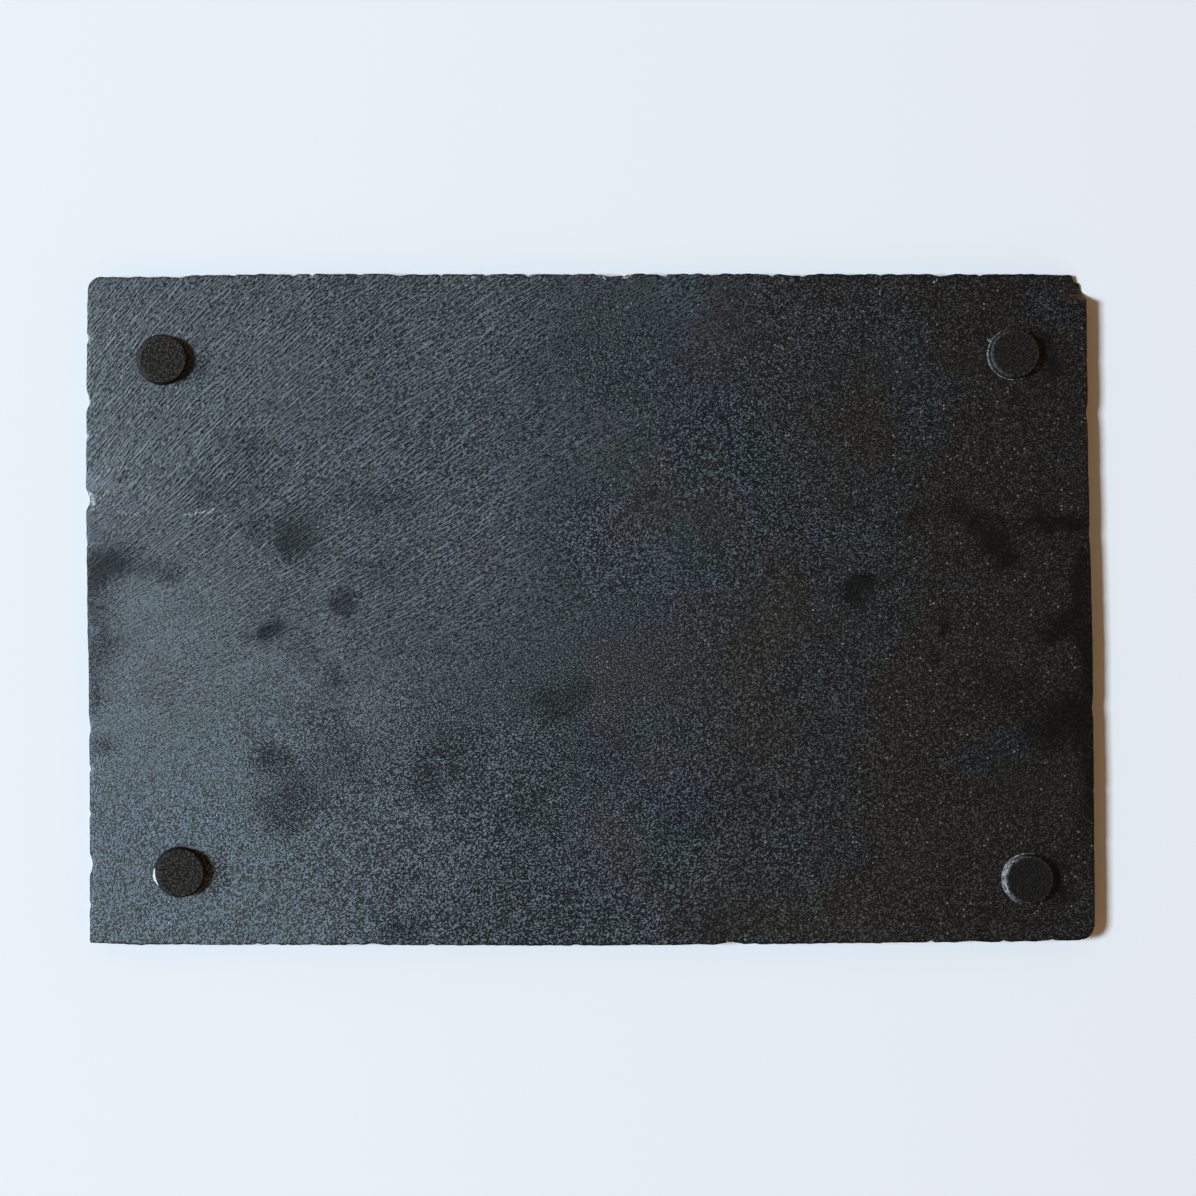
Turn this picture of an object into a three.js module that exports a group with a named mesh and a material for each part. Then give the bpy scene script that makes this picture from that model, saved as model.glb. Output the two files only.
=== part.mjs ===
// A rectangular slate board that lies on its serving face, its underside and its four foam feet
// turned up. Millimetres, +Z up, +X along the length and +Y across the width. The origin is on
// the surface that the board lies on, under the middle of the board.

import * as THREE from "three";
import { mergeVertices } from "three/addons/utils/BufferGeometryUtils.js";

// Driving dimensions of the board, overall
const boardLength = 300;
const boardWidth = 200;
const boardThickness = 5;

// Driving dimensions of the feet. The film is the self-adhesive layer under the foam.
const footDiameter = 15;
const footTopDiameter = 14.2;
const footHeight = 3;
const footRimRadius = 0.6;
const filmThickness = 0.25;
const filmDiameter = 15.2;

// Each foot's middle, from the middle of the board, how far the foam's end has crept to the right
// of its base, and how far its film sits off centre
const feet = [
  { place: "back_left", x: -127.3, y: 74.3, lean: 0.7, filmX: -0.1, filmY: 0 },
  { place: "back_right", x: 125.6, y: 76, lean: 0.2, filmX: -0.3, filmY: -0.1 },
  { place: "front_left", x: -121.9, y: -77.9, lean: 0.9, filmX: -0.2, filmY: 0 },
  { place: "front_right", x: 129.8, y: -80, lean: 0.2, filmX: -0.3, filmY: 0.1 },
];

// A torn tongue of film sticks out at the left of one foot.
const tongueFoot = "front_left";
const tongueReach = 0.55;
const tongueAngle = 192;
const tongueHalfWidth = 19;

// How far each edge stands back from the full rectangle, at places along it. The stone was cut by
// eye: the right edge leans, and the front edge bows.
const edgeInsets = {
  left: [[-98, 1.13], [-48, 1.13], [-32, 0.95], [-9, 0.57], [5, 0.39], [33, 0], [43, 0], [95, 0.39]],
  right: [[-90, 0], [-45, 0.36], [-16, 0.57], [-1, 0.87], [28, 1.55], [43, 1.94], [65, 2.15], [91, 2.45]],
  front: [[-146, 0.74], [-134, 0.32], [-33, 0.17], [-15, 0], [44, 0.44], [86, 0.77], [130, 1.3], [145, 1.63]],
  back: [[-145, 0.83], [-122, 0.83], [-118, 0.4], [-101, 0], [140, 0]],
};

// Chips in the upper arris, as place along the edge, depth and half width
const arrisChips = {
  left: [[62.5, 1, 3.5], [33, 1.2, 4], [-76, 0.9, 4], [-35.5, 0.4, 3]],
  right: [[-30, 0.4, 4], [22, 0.3, 5], [58, 0.5, 4]],
  front: [[-65, 0.4, 4], [41.5, 0.7, 4], [113, 0.4, 5]],
  back: [[-56, 0.4, 4], [7.5, 0.8, 4.5], [62, 0.5, 5], [106, 0.6, 3.5]],
};

// Corners. The zone is the length of each edge that a corner reshapes. Corner lines run from the
// long edge to the short one, as distances inwards from the two edges.
const cornerZone = 8;
const roundedCornerRadius = 4.2;
const clippedCornerRadius = 5;
const sharpCornerRadius = 0.6;
const brokenCornerLine = [[3.9, 0], [2.9, 2.1], [1.3, 3.2], [1.4, 4.3], [0.3, 6.4]];

// Chipping of the lower edge, where the serving face was dressed
const dressingReach = 2.4;
const dressingLeast = 0.7;
const dressingRise = 0.9;
const dressingLength = 11;
const chipFade = 4;

// Cleft relief of the two faces
const swellHeight = 0.16;
const swellLength = 70;
const ridgeHeight = 0.2;
const ridgeSpacing = 13;
const ridgeLength = 75;
const ledgeHeight = 0.28;
const ledgeReach = 55;
const hollowDepth = 0.5;
const hollowLength = 42;
const restRadius = 24;

// Flat seat under each foot, and the ring over which it runs out into the relief
const seatRadius = 14;
const seatBlend = 8;

// Mesh lines across the board: two narrow strips along each edge, and even ones between
const linesAlongLength = 52;
const linesAcrossWidth = 34;
const layersThrough = 3;
const edgeStrips = [0, 1.5, 4];
const roundSides = 24;

const slateMaterial = new THREE.MeshStandardMaterial({ color: 0x32363a, roughness: 0.62, metalness: 0 });
const foamMaterial = new THREE.MeshStandardMaterial({ color: 0x262320, roughness: 0.9, metalness: 0 });
const filmMaterial = new THREE.MeshStandardMaterial({ color: 0xc9ccd0, roughness: 0.4, metalness: 0 });

function mix(a, b, t) {
  return a + (b - a) * t;
}

function smooth(t) {
  const c = Math.min(1, Math.max(0, t));
  return c * c * (3 - 2 * c);
}

// Repeatable value from 0 to 1 for one knot of a noise grid
function knot(i, j, seed) {
  const s = Math.sin(i * 127.1 + j * 311.7 + seed * 74.7) * 43758.5453;
  return s - Math.floor(s);
}

// Smooth noise from 0 to 1, with a knot at each whole number
function noise(u, v, seed) {
  const i = Math.floor(u);
  const j = Math.floor(v);
  const a = smooth(u - i);
  const b = smooth(v - j);
  const low = mix(knot(i, j, seed), knot(i + 1, j, seed), a);
  const high = mix(knot(i, j + 1, seed), knot(i + 1, j + 1, seed), a);
  return mix(low, high, b);
}

// Value at a place along a list of [place, value] pairs, level beyond its ends
function along(pairs, place) {
  if (place <= pairs[0][0]) return pairs[0][1];
  for (let k = 1; k < pairs.length; k += 1) {
    const [from, a] = pairs[k - 1];
    const [to, b] = pairs[k];
    if (place <= to) return mix(a, b, (place - from) / (to - from));
  }
  return pairs[pairs.length - 1][1];
}

// Depth of the chips in an edge's upper arris at a place along it
function chipDepth(chips, place) {
  let depth = 0;
  for (const [middle, deepest, halfWidth] of chips) {
    depth = Math.max(depth, deepest * (1 - smooth(Math.abs(place - middle) / halfWidth)));
  }
  return depth;
}

// Place of one mesh line, from -half to half
function linePlace(index, count, half) {
  const last = edgeStrips.length - 1;
  if (index <= last) return edgeStrips[index] - half;
  if (index >= count - last) return half - edgeStrips[count - index];
  const inner = half - edgeStrips[last];
  return mix(-inner, inner, (index - last) / (count - 2 * last));
}

// Corner line of a rounded corner, from the long edge to the short one
function roundedLine(radius) {
  const points = [];
  for (const step of [0, 0.25, 0.5, 0.75, 1]) {
    const turn = (step * Math.PI) / 2;
    points.push([radius * (1 - Math.sin(turn)), radius * (1 - Math.cos(turn))]);
  }
  return points;
}

// Path of a corner from where the long edge enters its zone to where the short edge leaves it
function cornerPath(line) {
  const path = new THREE.Path();
  path.moveTo(cornerZone, 0);
  for (const [x, y] of line) path.lineTo(x, y);
  path.lineTo(0, cornerZone);
  return path;
}

const cornerPaths = {
  backLeft: cornerPath(roundedLine(roundedCornerRadius)),
  backRight: cornerPath(brokenCornerLine),
  frontLeft: cornerPath(roundedLine(sharpCornerRadius)),
  frontRight: cornerPath(roundedLine(clippedCornerRadius)),
};

// Moves a point of a corner's zone, given as distances inwards from the short and long edges, so
// that its border follows the corner's path and the stone behind it makes room
function reshapeCorner(path, x, y) {
  if (x >= cornerZone || y >= cornerZone) return [x, y];
  const depth = Math.min(x, y);
  const borderX = x - depth;
  const borderY = y - depth;
  const onPath = path.getPointAt((cornerZone - borderX + borderY) / (2 * cornerZone));
  const share = 1 - depth / cornerZone;
  return [x + (onPath.x - borderX) * share, y + (onPath.y - borderY) * share];
}

// Outline in plan: from the plain rectangle to the cut board with its corners
function planPoint(x, y) {
  const halfLength = boardLength / 2;
  const halfWidth = boardWidth / 2;
  const pathName = (y > 0 ? "back" : "front") + (x > 0 ? "Right" : "Left");
  const [inX, inY] = reshapeCorner(cornerPaths[pathName], halfLength - Math.abs(x), halfWidth - Math.abs(y));
  const cornerX = Math.sign(x) * (halfLength - inX);
  const cornerY = Math.sign(y) * (halfWidth - inY);
  const left = along(edgeInsets.left, y) - halfLength;
  const right = halfLength - along(edgeInsets.right, y);
  const front = along(edgeInsets.front, x) - halfWidth;
  const back = halfWidth - along(edgeInsets.back, x);
  return [
    mix(left, right, cornerX / boardLength + 0.5),
    mix(front, back, cornerY / boardWidth + 0.5),
  ];
}

// How far a side stands back at a height from 0 at the serving face to 1 at the upper arris
function sideInset(chips, place, height, seed) {
  const layered = noise(place / dressingLength, height * 2.5, seed);
  const dressed = mix(dressingLeast, dressingReach, layered) * (1 - height) ** 1.5;
  const split = 0.35 * noise(place / 7, height * 9, seed + 5) * Math.sin(Math.PI * height);
  return dressed + split + chipDepth(chips, place) * height ** 3;
}

// Distance across the cleft lines, which steepen towards the back left corner
function acrossCleft(x, y) {
  const steep = smooth((y + 70) / 110);
  return y - 0.45 * x + 62 * Math.exp(-(x + boardLength / 2) / 75) * steep;
}

// Height of the upper face over its flat level
function upperRelief(x, y) {
  const across = acrossCleft(x, y);
  const lengthwise = x + 0.5 * y;
  const swell = swellHeight * (2 * noise(x / swellLength + 9, y / swellLength + 4, 1) - 1);
  const fade = mix(1, 0.45, smooth((x + 90) / 180));
  const ridge = ridgeHeight * fade * (2 * noise(lengthwise / ridgeLength + 20, across / ridgeSpacing + 20, 2) - 1);
  const ledgeLine = y - 33 + 0.34 * (x + 125) + 3 * noise(x / 9, 0, 3);
  const ledgeShare = 1 - smooth((x + boardLength / 2) / ledgeReach);
  const ledge = -ledgeHeight * ledgeShare * (1 - smooth(ledgeLine / 3)) * smooth((ledgeLine + 22) / 14);
  return swell + ridge + ledge;
}

// Share of the relief that is left at a point, which is none on the seats of the feet
function reliefShare(x, y) {
  let share = 1;
  for (const foot of feet) {
    const away = Math.hypot(x - foot.x, y - foot.y);
    share = Math.min(share, smooth((away - seatRadius) / seatBlend));
  }
  return share;
}

// Height of the serving face, which rests on its high parts and has shallow hollows between them
function servingRelief(x, y) {
  const wave = noise(x / hollowLength + 3, y / hollowLength + 7, 4);
  const cleft = noise((x + 0.5 * y) / ridgeLength + 40, acrossCleft(x, y) / ridgeSpacing + 40, 6);
  const hollow = hollowDepth * smooth(2.2 * (0.65 * wave + 0.35 * cleft) - 0.95);
  return hollow * smooth((Math.hypot(x, y) - restRadius) / 12);
}

function slateGeometry() {
  const block = new THREE.BoxGeometry(
    boardLength, boardWidth, boardThickness, linesAlongLength, linesAcrossWidth, layersThrough,
  );
  block.deleteAttribute("normal");
  block.deleteAttribute("uv");
  const slab = mergeVertices(block);
  const position = slab.getAttribute("position");
  for (let k = 0; k < position.count; k += 1) {
    const column = Math.round((position.getX(k) / boardLength + 0.5) * linesAlongLength);
    const row = Math.round((position.getY(k) / boardWidth + 0.5) * linesAcrossWidth);
    const height = position.getZ(k) / boardThickness + 0.5;
    const lineX = linePlace(column, linesAlongLength, boardLength / 2);
    const lineY = linePlace(row, linesAcrossWidth, boardWidth / 2);
    let [x, y] = planPoint(lineX, lineY);

    const fromLeft = lineX + boardLength / 2;
    const fromRight = boardLength / 2 - lineX;
    const fromFront = lineY + boardWidth / 2;
    const fromBack = boardWidth / 2 - lineY;
    const leftInset = sideInset(arrisChips.left, lineY, height, 11) * Math.exp(-fromLeft / chipFade);
    const rightInset = sideInset(arrisChips.right, lineY, height, 12) * Math.exp(-fromRight / chipFade);
    const frontInset = sideInset(arrisChips.front, lineX, height, 13) * Math.exp(-fromFront / chipFade);
    const backInset = sideInset(arrisChips.back, lineX, height, 14) * Math.exp(-fromBack / chipFade);
    x += leftInset - rightInset;
    y += frontInset - backInset;

    const border = Math.min(fromLeft, fromRight, fromFront, fromBack);
    let z = height * boardThickness;
    if (height > 0.999) {
      const chip = leftInset + rightInset + frontInset + backInset;
      z += upperRelief(x, y) * reliefShare(x, y) - 0.45 * chip - (border === 0 ? 0.12 : 0);
    } else if (height < 0.001) {
      z += border === 0 ? dressingRise * noise((x + y) / 5, 0, 15) + 0.15 : servingRelief(x, y);
    }
    position.setXYZ(k, x, y, z);
  }
  slab.computeVertexNormals();
  return slab;
}

// Foam disc with a softly rounded rim, which leans to the right
function footGeometry(lean) {
  const foamHeight = footHeight - filmThickness;
  const baseRadius = footDiameter / 2;
  const rimMiddleX = footTopDiameter / 2 - footRimRadius;
  const rimMiddleZ = foamHeight - footRimRadius;
  const profile = [new THREE.Vector2(0, 0), new THREE.Vector2(baseRadius, 0)];
  for (const turn of [0, Math.PI / 4, Math.PI / 2]) {
    const x = rimMiddleX + footRimRadius * Math.cos(turn);
    const z = rimMiddleZ + footRimRadius * Math.sin(turn);
    profile.push(new THREE.Vector2(x, z));
  }
  profile.push(new THREE.Vector2(0, foamHeight));
  const slant = new THREE.Matrix4().makeShear(0, 0, 0, 0, lean / foamHeight, 0);
  return new THREE.LatheGeometry(profile, roundSides).rotateX(Math.PI / 2).applyMatrix4(slant);
}

// Thin round film, with a tongue at its left where it is torn
function filmGeometry(hasTongue) {
  const outline = [];
  for (let k = 0; k < roundSides; k += 1) {
    const degrees = (k * 360) / roundSides;
    const nearTongue = hasTongue ? 1 - smooth(Math.abs(degrees - tongueAngle) / tongueHalfWidth) : 0;
    const radius = filmDiameter / 2 + tongueReach * nearTongue;
    const angle = THREE.MathUtils.degToRad(degrees);
    outline.push(new THREE.Vector2(radius * Math.cos(angle), radius * Math.sin(angle)));
  }
  return new THREE.ExtrudeGeometry(new THREE.Shape(outline), { depth: filmThickness, bevelEnabled: false });
}

function footGroup(foot) {
  const film = new THREE.Mesh(filmGeometry(foot.place === tongueFoot), filmMaterial);
  film.name = `adhesive_${foot.place}`;
  film.position.set(foot.filmX, foot.filmY, 0);
  const foam = new THREE.Mesh(footGeometry(foot.lean), foamMaterial);
  foam.name = `foot_${foot.place}`;
  foam.position.z = filmThickness;
  const group = new THREE.Group();
  group.add(film, foam);
  group.position.set(foot.x, foot.y, boardThickness);
  return group;
}

const slab = new THREE.Mesh(slateGeometry(), slateMaterial);
slab.name = "slate_slab";

const board = new THREE.Group();
board.add(slab);
for (const foot of feet) board.add(footGroup(foot));

export default board;
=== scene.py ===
"""A slate board on its serving face, its underside and its four foam feet turned up.

The stone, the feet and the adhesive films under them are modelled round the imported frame, on a pale
table, in daylight from a window at the left. Sizes are in millimetres unless a name says otherwise,
as in the part's source, and MM turns them into metres where a mesh is written.
"""

import logging
import math
from dataclasses import dataclass, field
from enum import Enum
from functools import partial, reduce

import bmesh
import bpy
import numpy as np
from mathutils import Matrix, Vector


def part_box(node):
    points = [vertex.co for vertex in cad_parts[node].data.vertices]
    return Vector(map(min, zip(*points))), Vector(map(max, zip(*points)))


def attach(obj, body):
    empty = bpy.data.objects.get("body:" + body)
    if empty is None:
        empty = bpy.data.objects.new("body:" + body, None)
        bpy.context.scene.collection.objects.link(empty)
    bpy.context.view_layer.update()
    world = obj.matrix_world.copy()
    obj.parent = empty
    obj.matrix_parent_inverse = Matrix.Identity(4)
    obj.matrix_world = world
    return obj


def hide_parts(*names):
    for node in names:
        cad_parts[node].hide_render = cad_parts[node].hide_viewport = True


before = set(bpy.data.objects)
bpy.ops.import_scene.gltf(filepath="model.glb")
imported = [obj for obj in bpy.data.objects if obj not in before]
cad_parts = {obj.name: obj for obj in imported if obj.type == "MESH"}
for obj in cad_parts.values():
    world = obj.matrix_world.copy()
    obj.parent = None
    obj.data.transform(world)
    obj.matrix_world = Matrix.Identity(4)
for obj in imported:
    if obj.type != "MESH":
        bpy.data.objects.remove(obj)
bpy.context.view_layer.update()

MM = 0.001
BODY = "root"
# Turns and stretch of the sine hash behind the noise
HASH_TURNS = (127.1, 311.7, 74.7)
HASH_STRETCH = 43758.5453
# Share of an uneven step that is slope
STEP_SLOPE = 0.22
# Stretches shader noise that lies about 0 to the span from -1 to 1
NOISE_SPREAD = 3.2
log = logging.getLogger("slate board")

Array = np.ndarray
Piece = bpy.types.Object
Material = bpy.types.Material
Socket = bpy.types.NodeSocket
Point = tuple[float, float]
Triple = tuple[float, float, float]
Spot = tuple[float, float, float]
Colour = tuple[float, float, float]


# Noise and curves, for whole arrays of points


def mix(a: Array, b: Array, share: Array) -> Array:
    """Value between a and b at a share from 0 to 1."""
    return a + (b - a) * share


def smooth(t: Array) -> Array:
    """Soft step from 0 to 1 as t goes from 0 to 1."""
    c = np.clip(t, 0.0, 1.0)
    return c * c * (3.0 - 2.0 * c)


def knot(i: Array, j: Array, seed: float) -> Array:
    """Makes repeatable values for the knots of a noise grid.

    Args:
        i: First number of each knot.
        j: Second number of each knot.
        seed: Number that picks the pattern.

    Returns:
        Values from 0 to 1.
    """
    turn_i, turn_j, turn_seed = HASH_TURNS
    s = np.sin(i * turn_i + j * turn_j + seed * turn_seed) * HASH_STRETCH
    return s - np.floor(s)


def noise(u: Array, v: Array, seed: float) -> Array:
    """Smooth noise with a knot at each whole number.

    Callers add a number to a place to use another part of the noise.

    Args:
        u: First coordinate of each point.
        v: Second coordinate of each point, or one value for all of them.
        seed: Number that picks the pattern.

    Returns:
        Values from 0 to 1.
    """
    i = np.floor(u)
    j = np.floor(v)
    a = smooth(u - i)
    b = smooth(v - j)
    low = mix(knot(i, j, seed), knot(i + 1, j, seed), a)
    high = mix(knot(i, j + 1, seed), knot(i + 1, j + 1, seed), a)
    return mix(low, high, b)


def wave(u: Array, v: Array, seed: float) -> Array:
    """Smooth noise from -1 to 1."""
    return 2.0 * noise(u, v, seed) - 1.0


def steps(u: Array, seed: float) -> Array:
    """Makes uneven steps, one for each whole number, with short slopes between them.

    Args:
        u: Coordinate of each point.
        seed: Number that picks the pattern.

    Returns:
        Values from 0 to 1.
    """
    step = np.floor(u)
    slope = smooth((u - step - (1 - STEP_SLOPE)) / STEP_SLOPE)
    return mix(knot(step, 0.0, seed), knot(step + 1, 0.0, seed), slope)


def along(pairs: list[Point], place: Array) -> Array:
    """Values at places along a list of (place, value) pairs, level beyond its ends."""
    places, values = zip(*pairs)
    return np.interp(place, places, values)


def dents(spots: list[Spot], place: Array) -> Array:
    """Finds how deep an edge is dented.

    Args:
        spots: Its dents, as (middle, depth, half width).
        place: Places along it.

    Returns:
        The depth at each place.
    """
    depth = np.zeros_like(place)
    for middle, deepest, half_width in spots:
        depth = np.maximum(depth, deepest * (1.0 - smooth(np.abs(place - middle) / half_width)))
    return depth


# Mesh helpers


def start_piece(name: str) -> Piece:
    """Names the primitive that was just added.

    Args:
        name: Its new name.

    Returns:
        The piece.
    """
    piece = bpy.context.active_object
    piece.name = name
    piece.data.name = name
    return piece


def read_points(piece: Piece) -> Array:
    """Reads the vertices of a piece.

    Args:
        piece: The piece.

    Returns:
        Their places in millimetres, one row for each.
    """
    flat = np.empty(len(piece.data.vertices) * 3)
    piece.data.vertices.foreach_get("co", flat)
    return flat.reshape(-1, 3) / MM


def write_points(piece: Piece, points: Array) -> None:
    """Moves the vertices of a piece to new places, given in millimetres."""
    piece.data.vertices.foreach_set("co", (points * MM).ravel())
    piece.data.update()


def write_values(piece: Piece, values: dict[str, Array]) -> None:
    """Stores what the materials read at each vertex of a piece.

    Args:
        piece: The piece.
        values: One number, or one vector, for each vertex, by name.
    """
    for name, stored in values.items():
        is_vector = stored.ndim == 2
        kind = "FLOAT_VECTOR" if is_vector else "FLOAT"
        attribute = piece.data.attributes.new(name, kind, "POINT")
        attribute.data.foreach_set("vector" if is_vector else "value", stored.astype(np.float32).ravel())


def dress(piece: Piece, material: Material, slot: str, *nodes: str) -> None:
    """Gives a piece its material and its body, hides the nodes that it stands for and logs its triangles.

    Args:
        piece: The finished piece.
        material: Its one material.
        slot: Not used.
        *nodes: The nodes that it stands for.
    """
    piece.data.materials.clear()
    piece.data.materials.append(material)
    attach(piece, BODY)
    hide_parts(*nodes)
    triangles = sum(len(face.vertices) - 2 for face in piece.data.polygons)
    log.info("%s: %d triangles", piece.name, triangles)


# Outline of the board


class Edge(Enum):
    """The four edges of the board. Back is the top of the photo."""

    LEFT = "left"
    RIGHT = "right"
    FRONT = "front"
    BACK = "back"


@dataclass(frozen=True)
class EdgeShape:
    """How one edge runs and where it is broken.

    Attributes:
        insets: (place, distance) pairs, how far the edge stands back from the full rectangle.
        chips: Broad chips of the upper arris, as (place, depth, half width).
        nicks: Small ones, of which only the upper part of the side shows a trace.
        wear: How rough its arris is between them.
        seed: Number that picks the pattern of the side.
    """

    insets: list[Point]
    chips: list[Spot]
    nicks: list[Spot]
    wear: float
    seed: float


EDGES = {
    Edge.LEFT: EdgeShape(
        insets=[(-98, 1.13), (-48, 1.13), (-32, 0.95), (-9, 0.57), (5, 0.39), (33, 0), (43, 0), (95, 0.39)],
        chips=[(62.5, 1, 3.5), (33, 1.2, 4), (-76, 0.9, 4), (-35.5, 0.4, 3)],
        nicks=[
            (81, 0.5, 1.2), (-47.7, 0.4, 1), (-61, 0.3, 1.1), (20, 0.25, 1), (-88, 0.35, 1.3), (52, 0.3, 1),
        ],
        wear=0.7,
        seed=11,
    ),
    Edge.RIGHT: EdgeShape(
        insets=[
            (-90, 0), (-45, 0.36), (-16, 0.57), (-1, 0.87), (28, 1.55), (43, 1.94), (65, 2.15), (91, 2.45),
        ],
        chips=[(-30, 0.4, 4), (22, 0.3, 5), (58, 0.5, 4)],
        nicks=[(74, 0.2, 1.5), (40, 0.15, 1.2), (3, 0.15, 1.6), (-55, 0.15, 1.4), (-71, 0.2, 1.2)],
        wear=0.4,
        seed=12,
    ),
    Edge.FRONT: EdgeShape(
        insets=[
            (-146, 0.74), (-134, 0.32), (-33, 0.17), (-15, 0), (44, 0.44), (86, 0.77), (130, 1.3),
            (145, 1.63),
        ],
        chips=[(-65, 0.4, 4), (41.5, 0.7, 4), (113, 0.4, 5)],
        nicks=[
            (-100, 0.35, 1.2), (-83, 0.3, 1), (-48, 0.3, 1.3), (-5, 0.4, 1.4), (12, 0.25, 0.9),
            (68, 0.3, 1.1), (101, 0.45, 1.3), (123, 0.5, 1.2), (137, 0.35, 1.4), (-122, 0.3, 1),
        ],
        wear=1.1,
        seed=13,
    ),
    Edge.BACK: EdgeShape(
        insets=[(-145, 0.83), (-122, 0.83), (-118, 0.4), (-101, 0), (140, 0)],
        chips=[(-56, 0.4, 4), (7.5, 0.8, 4.5), (62, 0.5, 5), (106, 0.6, 3.5)],
        nicks=[
            (-88, 0.6, 1), (-82.5, 0.5, 0.9), (-30, 0.7, 1.1), (-17.5, 0.7, 1), (3.2, 0.6, 0.8),
            (11.6, 0.7, 0.9), (22.7, 0.6, 1.2), (37.9, 0.5, 1), (55.5, 0.5, 1.1), (65, 0.5, 1),
            (118, 0.6, 1.3), (88, 0.4, 1.2), (-106, 0.35, 1.2), (-68, 0.3, 1), (-44, 0.35, 1),
        ],
        wear=1.5,
        seed=14,
    ),
}


@dataclass(frozen=True)
class CornerShape:
    """One corner: the signs of its place, and its line from the long edge to the short one.

    Attributes:
        right: 1 at the right end of the board, -1 at the left.
        back: 1 at the back edge, -1 at the front.
        line: Points as distances inwards from the short and the long edge.
    """

    right: int
    back: int
    line: list[Point]


def rounded_line(radius: float) -> list[Point]:
    """Corner line of a quarter circle of a given radius."""
    turns = np.linspace(0.0, math.pi / 2, 9)
    return [(radius * (1 - math.sin(turn)), radius * (1 - math.cos(turn))) for turn in turns]


BROKEN_CORNER = [(3.9, 0), (3.4, 1.3), (2.9, 2.1), (1.9, 2.4), (1.3, 3.2), (1.4, 4.3), (0.7, 5.0), (0.3, 6.4)]
CORNERS = [
    CornerShape(right=-1, back=1, line=rounded_line(4.2)),
    CornerShape(right=1, back=1, line=BROKEN_CORNER),
    CornerShape(right=-1, back=-1, line=rounded_line(0.6)),
    CornerShape(right=1, back=-1, line=rounded_line(5.0)),
]


@dataclass
class BoardOutline:
    """The cut outline of the board, in plan."""

    length: float
    width: float
    corner_zone: float = 8.0

    def reshape_corner(self, corner: CornerShape, x: Array, y: Array) -> None:
        """Moves the points near one corner so that the border follows the corner's line.

        Args:
            corner: The corner.
            x: Places along the length, changed in place.
            y: Places across the width, changed in place.
        """
        zone = self.corner_zone
        in_x = self.length / 2 - corner.right * x
        in_y = self.width / 2 - corner.back * y
        near = (in_x < zone) & (in_y < zone)
        in_x = in_x[near]
        in_y = in_y[near]
        depth = np.minimum(in_x, in_y)
        border_x = in_x - depth
        border_y = in_y - depth
        line = np.array([(zone, 0.0), *corner.line, (0.0, zone)])
        lengths = np.hypot(*np.diff(line, axis=0).T)
        reached = np.concatenate([[0.0], np.cumsum(lengths)])
        place = (zone - border_x + border_y) / (2 * zone) * reached[-1]
        share = 1 - depth / zone
        in_x = in_x + (np.interp(place, reached, line[:, 0]) - border_x) * share
        in_y = in_y + (np.interp(place, reached, line[:, 1]) - border_y) * share
        x[near] = corner.right * (self.length / 2 - in_x)
        y[near] = corner.back * (self.width / 2 - in_y)

    def place(self, x: Array, y: Array) -> tuple[Array, Array]:
        """Takes points of the plain rectangle to the cut board.

        Args:
            x: Places along the length.
            y: Places across the width.

        Returns:
            The new places along and across the board.
        """
        corner_x = x.copy()
        corner_y = y.copy()
        for corner in CORNERS:
            self.reshape_corner(corner, corner_x, corner_y)
        left = along(EDGES[Edge.LEFT].insets, y) - self.length / 2
        right = self.length / 2 - along(EDGES[Edge.RIGHT].insets, y)
        front = along(EDGES[Edge.FRONT].insets, x) - self.width / 2
        back = self.width / 2 - along(EDGES[Edge.BACK].insets, x)
        return mix(left, right, corner_x / self.length + 0.5), mix(front, back, corner_y / self.width + 0.5)


# The cleft faces


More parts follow.
